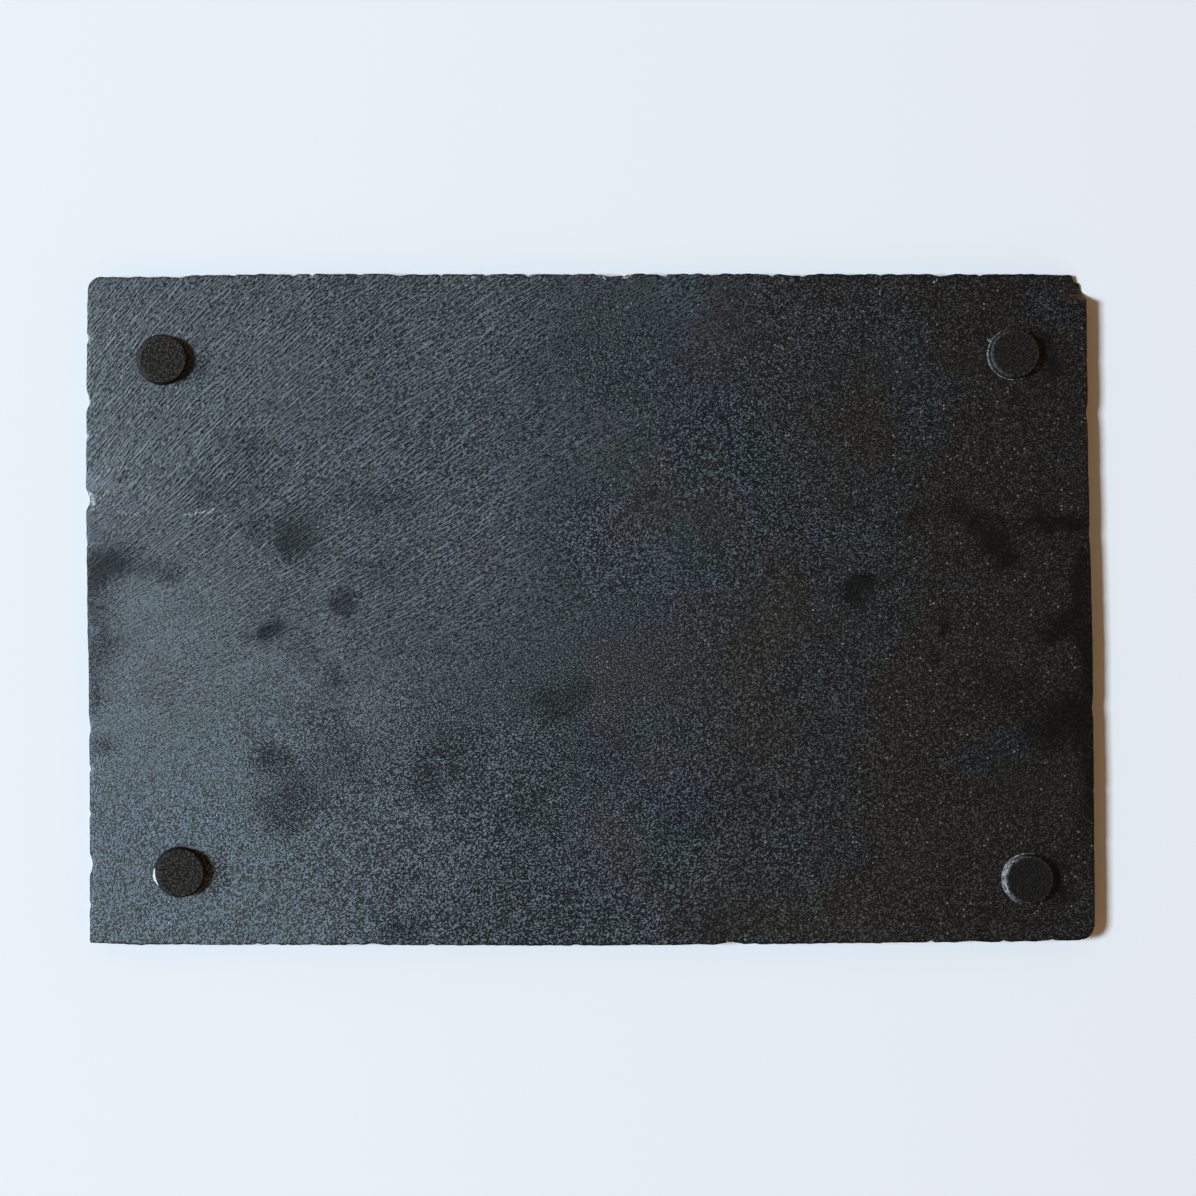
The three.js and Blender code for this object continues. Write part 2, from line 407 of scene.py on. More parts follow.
@dataclass
class CleftRelief:
    """Height and grain of the two cleft faces.

    The cleavage lines run up to the right, and steepen towards the back left corner. Lengths lie along
    them and spacings across them.
    """

    left_x: float = -150.0
    line_slope: float = 0.45
    lengthwise_slope: float = 0.5
    fan_rise: float = 62.0
    fan_reach: float = 75.0
    fan_front: float = -70.0
    fan_depth: float = 110.0
    lined_back: float = 95.0
    lined_reach: Point = (275.0, 190.0)
    lined_most: float = 1.08
    lined_loss: float = 0.92
    lined_patches: float = 0.22
    lined_least: float = 0.12
    swell_height: float = 0.16
    swell_length: float = 70.0
    ridge_height: float = 0.2
    ridge_spacing: float = 13.0
    ridge_length: float = 75.0
    ridge_fade_from: float = -90.0
    ridge_fade_reach: float = 180.0
    right_ridges: float = 0.45
    ledge_height: float = 0.1
    ledge_reach: float = 36.0
    ledge_middle: Point = (-125.0, 33.0)
    ledge_slope: float = 0.34
    ledge_wander: float = 3.0
    ledge_step: float = 1.2
    ledge_width: float = 22.0
    ledge_fade: float = 14.0
    hollow_depth: float = 0.5
    hollow_length: float = 42.0
    hollow_gain: float = 2.2
    hollow_start: float = 0.95
    hollow_ridges: float = 0.35
    rest_radius: float = 24.0
    rest_blend: float = 12.0
    wrinkle_height: float = 0.06
    wrinkle_spacing: float = 6.0
    wrinkle_length: float = 34.0
    line_wander: float = 1.6
    crease_height: float = 0.03
    crease_spacing: float = 3.6
    crease_length: float = 22.0
    thread_height: float = 0.01
    thread_spacing: float = 2.1
    thread_length: float = 11.0
    rough_height: float = 0.009
    pit_depth: float = 0.042
    pit_share: float = 0.1

    def across(self, x: Array, y: Array) -> Array:
        """Distance across the cleavage lines."""
        steep = smooth((y - self.fan_front) / self.fan_depth)
        return y - self.line_slope * x + self.fan_rise * np.exp(-(x - self.left_x) / self.fan_reach) * steep

    def lengthwise(self, x: Array, y: Array) -> Array:
        """Distance along the cleavage lines."""
        return x + self.lengthwise_slope * y

    def lined(self, x: Array, y: Array) -> Array:
        """Finds how strong the cleavage lines are.

        Args:
            x: Places along the length.
            y: Places across the width.

        Returns:
            Their strength, from 1 at the back left corner to little at the right.
        """
        away = np.hypot((x - self.left_x) / self.lined_reach[0], (y - self.lined_back) / self.lined_reach[1])
        patch = wave(x / 31 + 5, y / 24 + 3, 31)
        strength = self.lined_most - self.lined_loss * smooth(away) + self.lined_patches * patch
        return np.clip(strength, self.lined_least, 1.0)

    def broad(self, x: Array, y: Array) -> Array:
        """Makes the broad relief of the upper face, as in the solid.

        Args:
            x: Places along the length.
            y: Places across the width.

        Returns:
            Its height.
        """
        across = self.across(x, y)
        swell = self.swell_height * wave(x / self.swell_length + 9, y / self.swell_length + 4, 1)
        fade = mix(1.0, self.right_ridges, smooth((x - self.ridge_fade_from) / self.ridge_fade_reach))
        ridge_place = self.lengthwise(x, y) / self.ridge_length + 20
        ridge = self.ridge_height * fade * wave(ridge_place, across / self.ridge_spacing + 20, 2)
        ledge_x, ledge_y = self.ledge_middle
        ledge_line = y - ledge_y + self.ledge_slope * (x - ledge_x) + self.ledge_wander * noise(x / 9, 0.0, 3)
        ledge_share = 1 - smooth((x - self.left_x) / self.ledge_reach)
        ledge = ledge_share * (1 - smooth(ledge_line / self.ledge_step))
        ledge = ledge * smooth((ledge_line + self.ledge_width) / self.ledge_fade)
        return swell + ridge - self.ledge_height * ledge

    def fine(self, x: Array, y: Array) -> Array:
        """Makes the creases, threads and pits of the upper face.

        Args:
            x: Places along the length.
            y: Places across the width.

        Returns:
            Their height on top of the broad relief.
        """
        across = self.across(x, y) + self.line_wander * wave(x / 23, y / 19, 41)
        lengthwise = self.lengthwise(x, y)
        crease = wave(lengthwise / self.crease_length, across / self.crease_spacing, 42)
        thread = wave(lengthwise / self.thread_length, across / self.thread_spacing, 43)
        rough = wave(x / 2.1, y / 2.1, 44) + 0.6 * wave(x / 1.1, y / 1.1, 45)
        pits = smooth((noise(x / 1.7 + 60, y / 1.7, 46) - (1 - self.pit_share)) / self.pit_share)
        lines = self.lined(x, y) * (self.crease_height * crease + self.thread_height * thread)
        return lines + self.rough_height * rough - self.pit_depth * pits

    def serving(self, x: Array, y: Array) -> Array:
        """Makes the serving face, which rests on its high parts and on its flat middle.

        Args:
            x: Places along the length.
            y: Places across the width.

        Returns:
            Its height above the table.
        """
        across = self.across(x, y)
        lengthwise = self.lengthwise(x, y)
        swell = noise(x / self.hollow_length + 3, y / self.hollow_length + 7, 4)
        cleft = noise(lengthwise / self.ridge_length + 40, across / self.ridge_spacing + 40, 6)
        hollow = mix(swell, cleft, self.hollow_ridges)
        hollow = self.hollow_depth * smooth(self.hollow_gain * hollow - self.hollow_start)
        wrinkle = noise(lengthwise / self.wrinkle_length, across / self.wrinkle_spacing, 7)
        free = smooth((np.hypot(x, y) - self.rest_radius) / self.rest_blend)
        return (hollow + self.wrinkle_height * wrinkle) * free


@dataclass(frozen=True)
class StainOrShadow:
    """A dark patch: a place where the stone has taken up oil, or a shadow painted just to the right of a
    foot; its middle, half sizes and strength.
    """

    x: float
    y: float
    half_length: float
    half_width: float
    strength: float


STAINS_AND_SHADOWS = [
    StainOrShadow(*row)
    for row in [
        (-142, 13.5, 11, 6.5, 0.85), (-126, 11.5, 9, 4.5, 0.5), (-148, 8, 9, 13, 0.7),
        (-147, -14, 8.5, 15, 0.62), (-148, -27, 6, 8, 0.45), (-145, -40.5, 5.5, 3.2, 0.6),
        (-103, 47.5, 9, 10, 0.5), (-114, 35, 10, 7, 0.48), (-65, 33, 18, 7, 0.45), (-55, 55, 30, 12, 0.2),
        (-87.5, 18.8, 7, 6, 0.85), (-99.7, 22.5, 4, 3, 0.4), (-90, 26, 13, 7, 0.42),
        (-73.5, 3.2, 5, 3.2, 0.75), (-71, 0.6, 4.2, 3.2, 0.7), (-62, 12, 15, 8, 0.38),
        (-98.5, -7.3, 4.6, 3.6, 0.8), (-94, -4.6, 5.4, 3, 0.7), (-87, -10, 10, 7, 0.42),
        (-75.2, -20.3, 4.6, 4.4, 0.75), (-81, -32.5, 8, 6, 0.5), (-96, -43.8, 7, 6, 0.66),
        (-72, -42, 9, 8, 0.45), (-86, -53, 12, 11, 0.62), (-94.5, -61, 7, 6, 0.5), (-87, -64, 5, 4, 0.35),
        (-117, 1.5, 7, 4, 0.25), (-128, -25, 5, 3.5, 0.25), (-48, -51, 5.5, 8, 0.45),
        (-39, -44, 11, 14, 0.42), (-10, -27, 9, 7, 0.55), (-3, -22, 4, 4, 0.35), (-21, -61, 9, 8, 0.4),
        (3, -41, 12, 8, 0.32), (44, -54, 10, 8, 0.4), (28, -63, 10, 7, 0.4), (38, -91, 20, 8, 0.35),
        (-56, -95, 10, 5, 0.6), (15, 35, 6, 4, 0.3), (82.5, 8.2, 7.5, 2.3, 0.9),
        (79.2, 4.6, 4.6, 3.4, 1.0), (105.4, -6.4, 2.3, 3.9, 0.85), (102.2, -15.6, 3.2, 2.7, 0.8),
        (96.5, 26.8, 6.5, 4.5, 0.5), (109.3, 29.4, 5.5, 3.2, 0.75), (115.2, 24.2, 4.8, 3.6, 0.9),
        (120.6, 18.8, 4.4, 5, 1.0), (123.4, 13, 3.6, 4, 1.0), (131, 31.6, 8, 2.6, 0.45),
        (124, 25.5, 4.5, 2.8, 0.6), (134.5, 25.4, 6, 3.2, 1.0), (142.5, 26.6, 7, 3.4, 1.0),
        (139, -6.6, 6.5, 2.8, 1.0), (144, -3.2, 4, 4.5, 0.9), (147.2, 8, 3.2, 16, 0.95),
        (147.6, -20, 3.6, 22, 1.0), (148, -52, 3, 20, 0.85), (141.5, -33, 9, 8.5, 1.0),
        (134, -38, 7, 6, 0.6), (126, -25, 10, 9, 0.45), (118, -18, 9, 6, 0.25),
        # The last four patches are not stains but painted shadows, each just to the right of a foot.
        (135.6, 74.3, 4.6, 8.5, 0.75), (139.6, -81.6, 4.6, 8.5, 0.75), (-116, 72.5, 3.6, 7.5, 0.5),
        (-110.6, -78, 3.6, 7.5, 0.5),
    ]
]


@dataclass(frozen=True)
class Scar:
    """A stretch of freshly broken, paler stone: its two ends, half width and strength."""

    start: Point
    end: Point
    half_width: float
    strength: float


SCARS = [
    Scar(*row)
    for row in [
        ((-149.8, 35.2), (-147.2, 33.6), 0.4, 1.0), ((-147.2, 33.6), (-148.2, 31), 0.35, 1.0),
        ((-148.2, 31), (-142.5, 36), 0.3, 0.7), ((-149.6, 29.8), (-147.6, 28.8), 0.3, 0.9),
        ((-141, 29.4), (-133, 28.4), 0.28, 0.6), ((-122, 28.2), (-110.5, 29.6), 0.26, 0.8),
        ((-111, 29.4), (-107.5, 27.4), 0.24, 0.7), ((-149.2, 64.8), (-149, 60.2), 0.5, 0.9),
        ((-149.3, 52.6), (-149.3, 51.6), 0.3, 0.8), ((-148.6, -73.5), (-148.7, -78), 0.4, 0.8),
        ((-148.6, -34.5), (-148.5, -36.8), 0.3, 0.7), ((-148.4, -47), (-148.5, -48.6), 0.3, 0.6),
        ((-57, 99.2), (-54.8, 99.4), 0.35, 0.8), ((-44.8, 99.2), (-43.4, 99.3), 0.3, 0.7),
        ((-35.6, 99.2), (-34, 99), 0.3, 0.8), ((-84, 99), (-81, 98.6), 0.3, 0.6),
        ((2.4, 99.2), (5, 98.6), 0.3, 0.8), ((8.4, 98.5), (12.2, 99.2), 0.35, 0.8),
        ((21.8, 99.3), (23.6, 99.2), 0.35, 0.7), ((103.6, 98.8), (101.8, 97), 0.25, 0.7),
        ((61, 99.2), (64.2, 99), 0.25, 0.5), ((40.4, -98.9), (42.8, -98.7), 0.3, 0.7),
        ((100, -98), (102, -97.8), 0.3, 0.6), ((-147.5, -94.6), (-141.5, -98.6), 0.25, 0.5),
        ((-135.8, -96.2), (-124, -98.6), 0.22, 0.4), ((91.6, 17.6), (97.6, 14.4), 0.16, 0.55),
        ((-108, -4.8), (-93, -0.6), 0.16, 0.35),
    ]
]
SCAR_REACH = 2.5


@dataclass
class SlateBoard:
    """The stone of the board, with its dressed sides and its two cleft faces."""

    length: float = 300.0
    width: float = 200.0
    thickness: float = 5.0
    coarse_lines: tuple[int, int, int] = (148, 52, 3)
    fine_cuts: int = 2
    left_gathering: float = 0.07
    back_gathering: float = 0.06
    border_pull: float = 0.6
    border_pull_reach: float = 0.8
    layer_pull: float = 0.08
    dressing_least: float = 0.7
    dressing_reach: float = 2.4
    dressing_length: float = 11.0
    dressing_rise: float = 0.9
    dressing_least_rise: float = 0.15
    dressing_rim: float = 0.7
    split_depth: float = 0.35
    side_plies: float = 8.0
    terrace_depth: float = 0.45
    scallop_depth: float = 0.5
    chip_fade: float = 4.0
    chip_drop: float = 0.1
    nick_fade: float = 1.3
    nick_drop: float = 0.5
    nick_bottom: float = 0.35
    nick_blend: float = 0.5
    arris_drop: float = 0.025
    arris_reach: float = 0.4
    dark_border_reach: float = 0.4
    seat_radius: float = 8.4
    seat_blend: float = 30.0
    fine_seat_blend: float = 3.0
    spall_depth: float = 0.94
    spall_length: float = 12.0
    spall_width: float = 2.6
    spall_inset: Point = (3.4, 5.0)
    spall_ripple: float = 0.7
    stain_and_shadow_spread: float = 1.6
    end_tolerance: float = 0.001
    border_tolerance: float = 1e-6
    shading_angle: float = 38.0
    relief: CleftRelief = field(default_factory=CleftRelief)

    def block(self) -> Piece:
        """Cuts a cube into the grid that is then shaped.

        Returns:
            A block one unit long, wide and high, with fine lines on its top and its sides.
        """
        bpy.ops.mesh.primitive_cube_add(size=1.0)
        piece = start_piece("slate_board")
        bpy.ops.object.mode_set(mode="EDIT")
        bpy.ops.mesh.select_mode(type="EDGE")
        for axis, count in enumerate(self.coarse_lines):
            bpy.ops.mesh.select_all(action="DESELECT")
            mesh = bmesh.from_edit_mesh(piece.data)
            for edge in mesh.edges:
                run = edge.verts[1].co - edge.verts[0].co
                edge.select_set(abs(run[axis]) > 0.5)
            bmesh.update_edit_mesh(piece.data)
            bpy.ops.mesh.subdivide(number_cuts=count - 1)
        bpy.ops.mesh.select_mode(type="FACE")
        bpy.ops.mesh.select_all(action="DESELECT")
        mesh = bmesh.from_edit_mesh(piece.data)
        mesh.normal_update()
        for face in mesh.faces:
            face.select_set(face.normal.z > -0.5)
        bmesh.update_edit_mesh(piece.data)
        bpy.ops.mesh.subdivide(number_cuts=self.fine_cuts)
        bpy.ops.object.mode_set(mode="OBJECT")
        return piece

    def pulled(self, share: Array, size: float) -> Array:
        """Draws mesh lines towards the border.

        Args:
            share: Places from 0 to 1 across the board.
            size: The board's size in that direction.

        Returns:
            Places in millimetres, from minus half the size to half of it.
        """
        place = (share - 0.5) * size
        inwards = size / 2 - np.abs(place)
        fade = inwards / (size / 2)
        pull = self.border_pull * (1 - np.exp(-inwards / self.border_pull_reach)) * (1 - fade)
        return place + np.sign(place) * pull

    def side_inset(self, shape: EdgeShape, place: Array, height: Array) -> Array:
        """How far a side stands back at a height from 0 at the serving face to 1 at the arris.

        Args:
            shape: The edge.
            place: Places along it.
            height: Heights as shares of the thickness.

        Returns:
            Distances inwards from the plan outline, without the small nicks.
        """
        seed = shape.seed
        belly = np.sin(math.pi * height)
        layered = noise(place / self.dressing_length, height * 2.5, seed)
        dressed = mix(self.dressing_least, self.dressing_reach, layered) * (1 - height) ** 1.5
        split = self.split_depth * noise(place / 7, height * 9, seed + 5) * belly
        ply = np.floor(height * self.side_plies + 1.5 * noise(place / 9, 0.0, seed + 6))
        terrace = self.terrace_depth * noise(place / 5, ply * 7.0, seed + 7) * belly
        scallop = self.scallop_depth * noise(place / 3.1, height * 3, seed + 8) * (1 - height) ** 1.2
        return dressed + split + terrace + scallop + dents(shape.chips, place) * height**3

    def border_wear(self, shape: EdgeShape, place: Array) -> Array:
        """Roughens the arris along an edge, in waves and in broken steps.

        Args:
            shape: The edge.
            place: Places along it.

        Returns:
            Distances inwards.
        """
        seed = shape.seed
        rough = 0.05 * wave(place / 2.2, 0.0, seed + 20) + 0.07 * wave(place / 0.75, 5.0, seed + 21)
        broken = steps(place / 2.9, seed + 22) * 0.18 + steps(place / 1.7, seed + 23) * 0.1
        return shape.wear * (rough + broken)

    def shape_points(self, points: Array, feet: list["FoamFoot"]) -> tuple[Array, ...]:
        """Works out where each point of the block lies on the stone.

        Args:
            points: Points of the block, in its own unit.
            feet: The feet, which keep a flat seat.

        Returns:
            The points on the stone, the share of each that is side, its distance from the border and
            how far the spall has lowered it.
        """
        share_x = points[:, 0] + 0.5
        share_y = points[:, 1] + 0.5
        height = points[:, 2] + 0.5
        share_x = share_x - self.left_gathering * np.sin(math.pi * share_x)
        share_y = share_y + self.back_gathering * np.sin(math.pi * share_y)
        height = height - self.layer_pull * np.sin(2 * math.pi * height)
        line_x = self.pulled(share_x, self.length)
        line_y = self.pulled(share_y, self.width)
        x, y = BoardOutline(self.length, self.width).place(line_x, line_y)

        inwards = {
            Edge.LEFT: line_x + self.length / 2,
            Edge.RIGHT: self.length / 2 - line_x,
            Edge.FRONT: line_y + self.width / 2,
            Edge.BACK: self.width / 2 - line_y,
        }
        insets = {}
        nicks = np.zeros_like(x)
        for edge, shape in EDGES.items():
            place = line_y if edge in (Edge.LEFT, Edge.RIGHT) else line_x
            inset = self.side_inset(shape, place, height) * np.exp(-inwards[edge] / self.chip_fade)
            upper = smooth((height - self.nick_bottom) / self.nick_blend)
            fade = np.exp(-inwards[edge] / self.nick_fade) * upper
            nick = dents(shape.nicks, place) * fade
            insets[edge] = inset + nick + self.border_wear(shape, place) * fade
            nicks = nicks + nick
        x = x + insets[Edge.LEFT] - insets[Edge.RIGHT]
        y = y + insets[Edge.FRONT] - insets[Edge.BACK]
        border = np.minimum.reduce(list(inwards.values()))
        lowered = self.chip_drop * (sum(insets.values()) - nicks) + self.nick_drop * nicks

        is_top = height > 1 - self.end_tolerance
        is_bottom = height < self.end_tolerance
        upper_face = self.thickness + self.upper_relief(x, y, feet) - lowered - self.worn_arris(x, y, border)
        lower_face = self.relief.serving(x, y) + self.dressed_rim(x, y, border)
        z = np.where(is_top, upper_face, height * self.thickness)
        z = np.where(is_bottom, lower_face, z)

        spalled = self.spalled(x, y)
        thinned = z * self.spall_depth * spalled
        low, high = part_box("slate_slab")
        x = np.clip(x, low.x / MM, high.x / MM)
        y = np.clip(y, low.y / MM, high.y / MM)
        side = ((border < self.border_tolerance) & ~is_top) * (1 - spalled**2)
        return np.column_stack([x, y, z - thinned]), side, border, thinned

    def upper_relief(self, x: Array, y: Array, feet: list["FoamFoot"]) -> Array:
        """Makes the relief of the upper face, with a flat seat under each foot.

        Args:
            x: Places along the length.
            y: Places across the width.
            feet: The feet.

        Returns:
            Its height.
        """
        broad_share = np.ones_like(x)
        fine_share = np.ones_like(x)
        for foot in feet:
            away = np.hypot(x - foot.x, y - foot.y) - self.seat_radius
            broad_share = np.minimum(broad_share, smooth(away / self.seat_blend))
            fine_share = np.minimum(fine_share, smooth(away / self.fine_seat_blend))
        return self.relief.broad(x, y) * broad_share + self.relief.fine(x, y) * fine_share

    def worn_arris(self, x: Array, y: Array, border: Array) -> Array:
        """How far wear has lowered the upper arris."""
        drop = self.arris_drop * (0.4 + noise((x + y) / 1.9, (x - y) / 1.9, 51))
        return drop * np.exp(-((border / self.arris_reach) ** 2))

    def dressed_rim(self, x: Array, y: Array, border: Array) -> Array:
        """How far the dressing has raised the rim of the serving face."""
        rise = self.dressing_rise * noise((x + y) / 5, 0.0, 15) + self.dressing_least_rise
        return rise * np.exp(-border / self.dressing_rim)

    def spalled(self, x: Array, y: Array) -> Array:
        """Finds how far the spall has thinned the back right corner.

        Args:
            x: Places along the length.
            y: Places across the width.

        Returns:
            The share of the spall's full depth.
        """
        from_right, from_back = self.spall_inset
        flake = self.spall_ripple * wave(x / 2.6, y / 2.6, 55)
        lengthwise = np.clip((self.length / 2 - from_right - x + flake) / self.spall_length, 0, 1)
        across = np.clip((self.width / 2 - from_back - y + flake) / self.spall_width, 0, 1)
        return (1 - lengthwise) * (1 - across)

    def oil_and_shade(self, x: Array, y: Array) -> Array:
        """Finds how much oil the stains hold, and how dark the painted shadows beside the feet are, with
        ragged soft borders.

        Args:
            x: Places along the length.
            y: Places across the width.

        Returns:
            The share of oil and painted shade, from 0 to 1.
        """
        shift_x = x + 2.3 * wave(x / 9, y / 9, 61) + 1.1 * wave(x / 3.1, y / 3.1, 62)
        shift_y = y + 2.3 * wave(x / 9, y / 9, 63) + 1.1 * wave(x / 3.1, y / 3.1, 64)
        mottle = 0.8 + 0.3 * noise(x / 3.2, y / 3.2, 65)
        dry = np.ones_like(x)
        for stain_or_shadow in STAINS_AND_SHADOWS:
            away = np.hypot((shift_x - stain_or_shadow.x) / stain_or_shadow.half_length, (shift_y - stain_or_shadow.y) / stain_or_shadow.half_width)
            dry = dry * (1 - stain_or_shadow.strength * (1 - smooth(away / self.stain_and_shadow_spread)))
        return np.clip((1 - dry) * mottle, 0, 1)

    def scarred(self, x: Array, y: Array) -> Array:
        """Place of each point within its nearest scar.

        Args:
            x: Places along the length.
            y: Places across the width.

        Returns:
            For each point its distance to the side of the scar, how far it is from the scar's ends
            as a share of its length, and the scar's half width, or 0 where no scar is near.
        """
        found = np.zeros((len(x), 3))
        nearest = np.full_like(x, SCAR_REACH)
        for scar in SCARS:
            run_x = scar.end[0] - scar.start[0]
            run_y = scar.end[1] - scar.start[1]
            length = math.hypot(run_x, run_y)
            from_x = x - scar.start[0]
            from_y = y - scar.start[1]
            place = (from_x * run_x + from_y * run_y) / length**2
            aside = (from_y * run_x - from_x * run_y) / length
            past = (np.abs(place - 0.5) - 0.5) * length
            away = np.maximum(np.abs(aside), past)
            taken = away < nearest
            nearest = np.where(taken, away, nearest)
            values = np.column_stack([aside, -past, np.full_like(x, scar.half_width * scar.strength)])
            found = np.where(taken[:, None], values, found)
        return found

    def build(self, feet: list["FoamFoot"], material: Material) -> Piece:
        """Makes the stone.

        Args:
            feet: The feet that stand on it.
            material: Its finish.

        Returns:
            The finished piece.
        """
        piece = self.block()
        points, side, border, thinned = self.shape_points(read_points(piece) * MM, feet)
        write_points(piece, points)
        x, y, z = points.T
        is_upper = (z > self.thickness / 2).astype(float)
        # A thin dark line along every border of the upper face, stored with the oil stains and darkened like
        # them.
        rim = np.exp(-((border / self.dark_border_reach) ** 2)) * (0.55 + 0.6 * noise((x + y) / 3, (x - y) / 3, 66))
        values = {
            "cleft_map": np.column_stack([self.relief.lengthwise(x, y), self.relief.across(x, y), z]),
            "lined": self.relief.lined(x, y),
            "oil_and_shade": np.maximum(self.oil_and_shade(x, y), rim) * is_upper * (1 - side),
            "thinned": thinned,
            "scarred": self.scarred(x, y) * is_upper[:, None],
            "side": side,
        }
        write_values(piece, values)
        bpy.ops.object.shade_smooth_by_angle(angle=math.radians(self.shading_angle))
        dress(piece, material, "slate", "slate_slab")
        return piece


# Feet


def grow_disc(name: str, profile: list[Point], sides: int) -> Piece:
    """Models a round solid by extruding its end again and again.

    Args:
        name: Name of the piece.
        profile: (radius, height) of each ring, from the rim of the base to the middle of the end.
        sides: Number of sides.

    Returns:
        A closed piece that stands on the origin, in metres.
    """
    bpy.ops.object.select_all(action="DESELECT")
    radius, height = profile[0]
    bpy.ops.mesh.primitive_circle_add(vertices=sides, radius=radius * MM, fill_type="NGON")
    piece = start_piece(name)
    bpy.ops.object.mode_set(mode="EDIT")
    bpy.ops.mesh.select_all(action="SELECT")
    for next_radius, next_height in profile[1:]:
        rise = (next_height - height) * MM
        share = next_radius / radius
        bpy.ops.mesh.extrude_region_move(TRANSFORM_OT_translate={"value": (0, 0, rise)})
        bpy.ops.transform.resize(value=(share, share, 1), center_override=(0, 0, 0))
        radius, height = next_radius, next_height
    bpy.ops.mesh.poke()
    bpy.ops.mesh.select_all(action="SELECT")
    bpy.ops.mesh.normals_make_consistent(inside=False)
    bpy.ops.object.mode_set(mode="OBJECT")
    return piece


@dataclass
class FoamFoot:
    """A round foam foot, whose end has crept to the right of its base.

    Attributes:
        place: Its corner of the board, as in the name of its node.
        x: Its middle along the length.
        y: Its middle across the width.
        lean: How far its end has crept.
        dust_and_sheen: How dusty its end is, from 0 to 1; more on the left feet, where it also paints the
            sheen that lightens their ends.
        painted_lit_side: How much pale light is painted on its cut side, from 0 to 1.
        low_painted_lit_side: Share of that in the lower half of its side.
        painted_light_turn: Where round the foot the painted light is strongest, towards the window, in
            degrees.
        film_x: How far its film sits to the right of it.
        film_y: How far its film sits behind it.
    """

    place: str
    x: float
    y: float
    lean: float
    dust_and_sheen: float
    painted_lit_side: float
    low_painted_lit_side: float
    painted_light_turn: float
    film_x: float
    film_y: float
    base_diameter: float = 15.0
    end_diameter: float = 14.2
    height: float = 3.0
    rim_radius: float = 0.6
    film_thickness: float = 0.25
    pore_size: float = 0.55
    pore_depth: float = 0.1
    fine_pore_size: float = 0.3
    fine_pore_depth: float = 0.05
    least_inset: float = 0.05
    painted_rim_highlight: float = 0.4
    rim_ring: Point = (0.2, 0.3)
    shading_angle: float = 50.0
    sides: int = 144
    wall_rings: int = 8
    rim_rings: int = 6
    end_rings: int = 24
    board_thickness: float = 5.0

    @property
    def foam_height(self) -> float:
        """Height of the foam on its film."""
        return self.height - self.film_thickness

    @property
    def seed(self) -> int:
        """Number that picks the pattern of its pores and its dust."""
        return 80 + len(self.place)

    def profile(self) -> list[Point]:
        """Lists the rings of the foam, from its base up its side, round its rim and in to its middle.

        Returns:
            The (radius, height) of each ring.
        """
        wall_top = self.foam_height - self.rim_radius
        rings = []
        for share in np.linspace(0, 1, self.wall_rings):
            rings.append((mix(self.base_diameter / 2, self.end_diameter / 2, share), wall_top * share))
        middle = self.end_diameter / 2 - self.rim_radius
        for turn in np.linspace(0, math.pi / 2, self.rim_rings)[1:]:
            radius = middle + self.rim_radius * math.cos(turn)
            rings.append((radius, wall_top + self.rim_radius * math.sin(turn)))
        for share in np.linspace(1, 0.02, self.end_rings)[1:]:
            rings.append((middle * share, self.foam_height))
        return rings

    def shaped(self, points: Array) -> Array:
        """Gives the plain disc its pores, its uneven side and its lean.

        Args:
            points: Points of the disc.

        Returns:
            The points of the foam, in its place on the board.
        """
        x, y, z = points.T
        reach = np.hypot(x, y)
        turn = np.arctan2(y, x)
        cell = noise(x / self.pore_size + 30, y / self.pore_size + z / 0.6, self.seed)
        fine_size = self.fine_pore_size
        fine_cell = noise(x / fine_size + 90, y / fine_size + z / fine_size, self.seed + 1)
        pore = self.pore_depth * smooth((cell - 0.55) / 0.4) + self.fine_pore_depth * fine_cell
        on_side = smooth((reach - (self.end_diameter / 2 - self.rim_radius) + 0.4) / 0.8)
        z = z - pore * (1 - on_side) * (z > self.foam_height - 0.01)
        wall = np.where(z > 0.02, 1.0, 0.0) * on_side
        wobble = 0.07 * wave(turn * 5 + 9, z * 0.9, self.seed + 2)
        wobble = wobble + 0.05 * wave(turn * 19 + 50, z * 2, self.seed + 3)
        reach_share = 1 + wall * (wobble - self.least_inset - 0.5 * pore) / np.maximum(reach, 1.0)
        x = x * reach_share + self.lean * z / self.foam_height
        base = self.board_thickness + self.film_thickness
        return np.column_stack([x + self.x, y * reach_share + self.y, z + base])

    def finish_values(self, points: Array) -> dict[str, Array]:
        """Finds where the foam is dusty and where it is cut, and where light and a highlight are painted on
        its side and rim.

        Args:
            points: Points of the plain disc.

        Returns:
            What its material reads, by name.
        """
        x, y, z = points.T
        turn = np.arctan2(y, x)
        # Painted light: the side is pale where it faces the window.
        lit = smooth(np.cos(turn - math.radians(self.painted_light_turn)) * 1.6 - 0.3)
        dotted = smooth((noise(turn * 17 + 60, z * 2.2, self.seed + 4) - 0.3) / 0.3)
        upper = smooth((z / self.foam_height - 0.5) / 0.25)
        ring_inset, ring_width = self.rim_ring
        ring = np.exp(-(((np.hypot(x, y) - (self.end_diameter / 2 - ring_inset)) / ring_width) ** 2))
        specks = smooth((noise(turn * 23 + 30, z, self.seed + 5) - 0.35) / 0.35)
        return {
            "dust_and_sheen": np.full_like(x, self.dust_and_sheen),
            "wall": smooth((self.foam_height - 0.25 - z) / 0.5),
            "painted_lit_side": self.painted_lit_side * lit * dotted * mix(self.low_painted_lit_side, 1.0, upper),
            # Painted highlight: a dotted pale ring round the rim of the end.
            "rim": self.painted_rim_highlight * min(self.painted_lit_side, 0.5) * ring * specks * upper,
        }

    def build(self, material: Material) -> Piece:
        """Makes the foam.

        Args:
            material: Its finish.

        Returns:
            The finished piece.
        """
        piece = grow_disc(f"foam_foot_{self.place}", self.profile(), self.sides)
        points = read_points(piece)
        write_values(piece, self.finish_values(points))
        write_points(piece, self.shaped(points))
        bpy.ops.object.shade_smooth_by_angle(angle=math.radians(self.shading_angle))
        dress(piece, material, "foam", f"foot_{self.place}")
        return piece


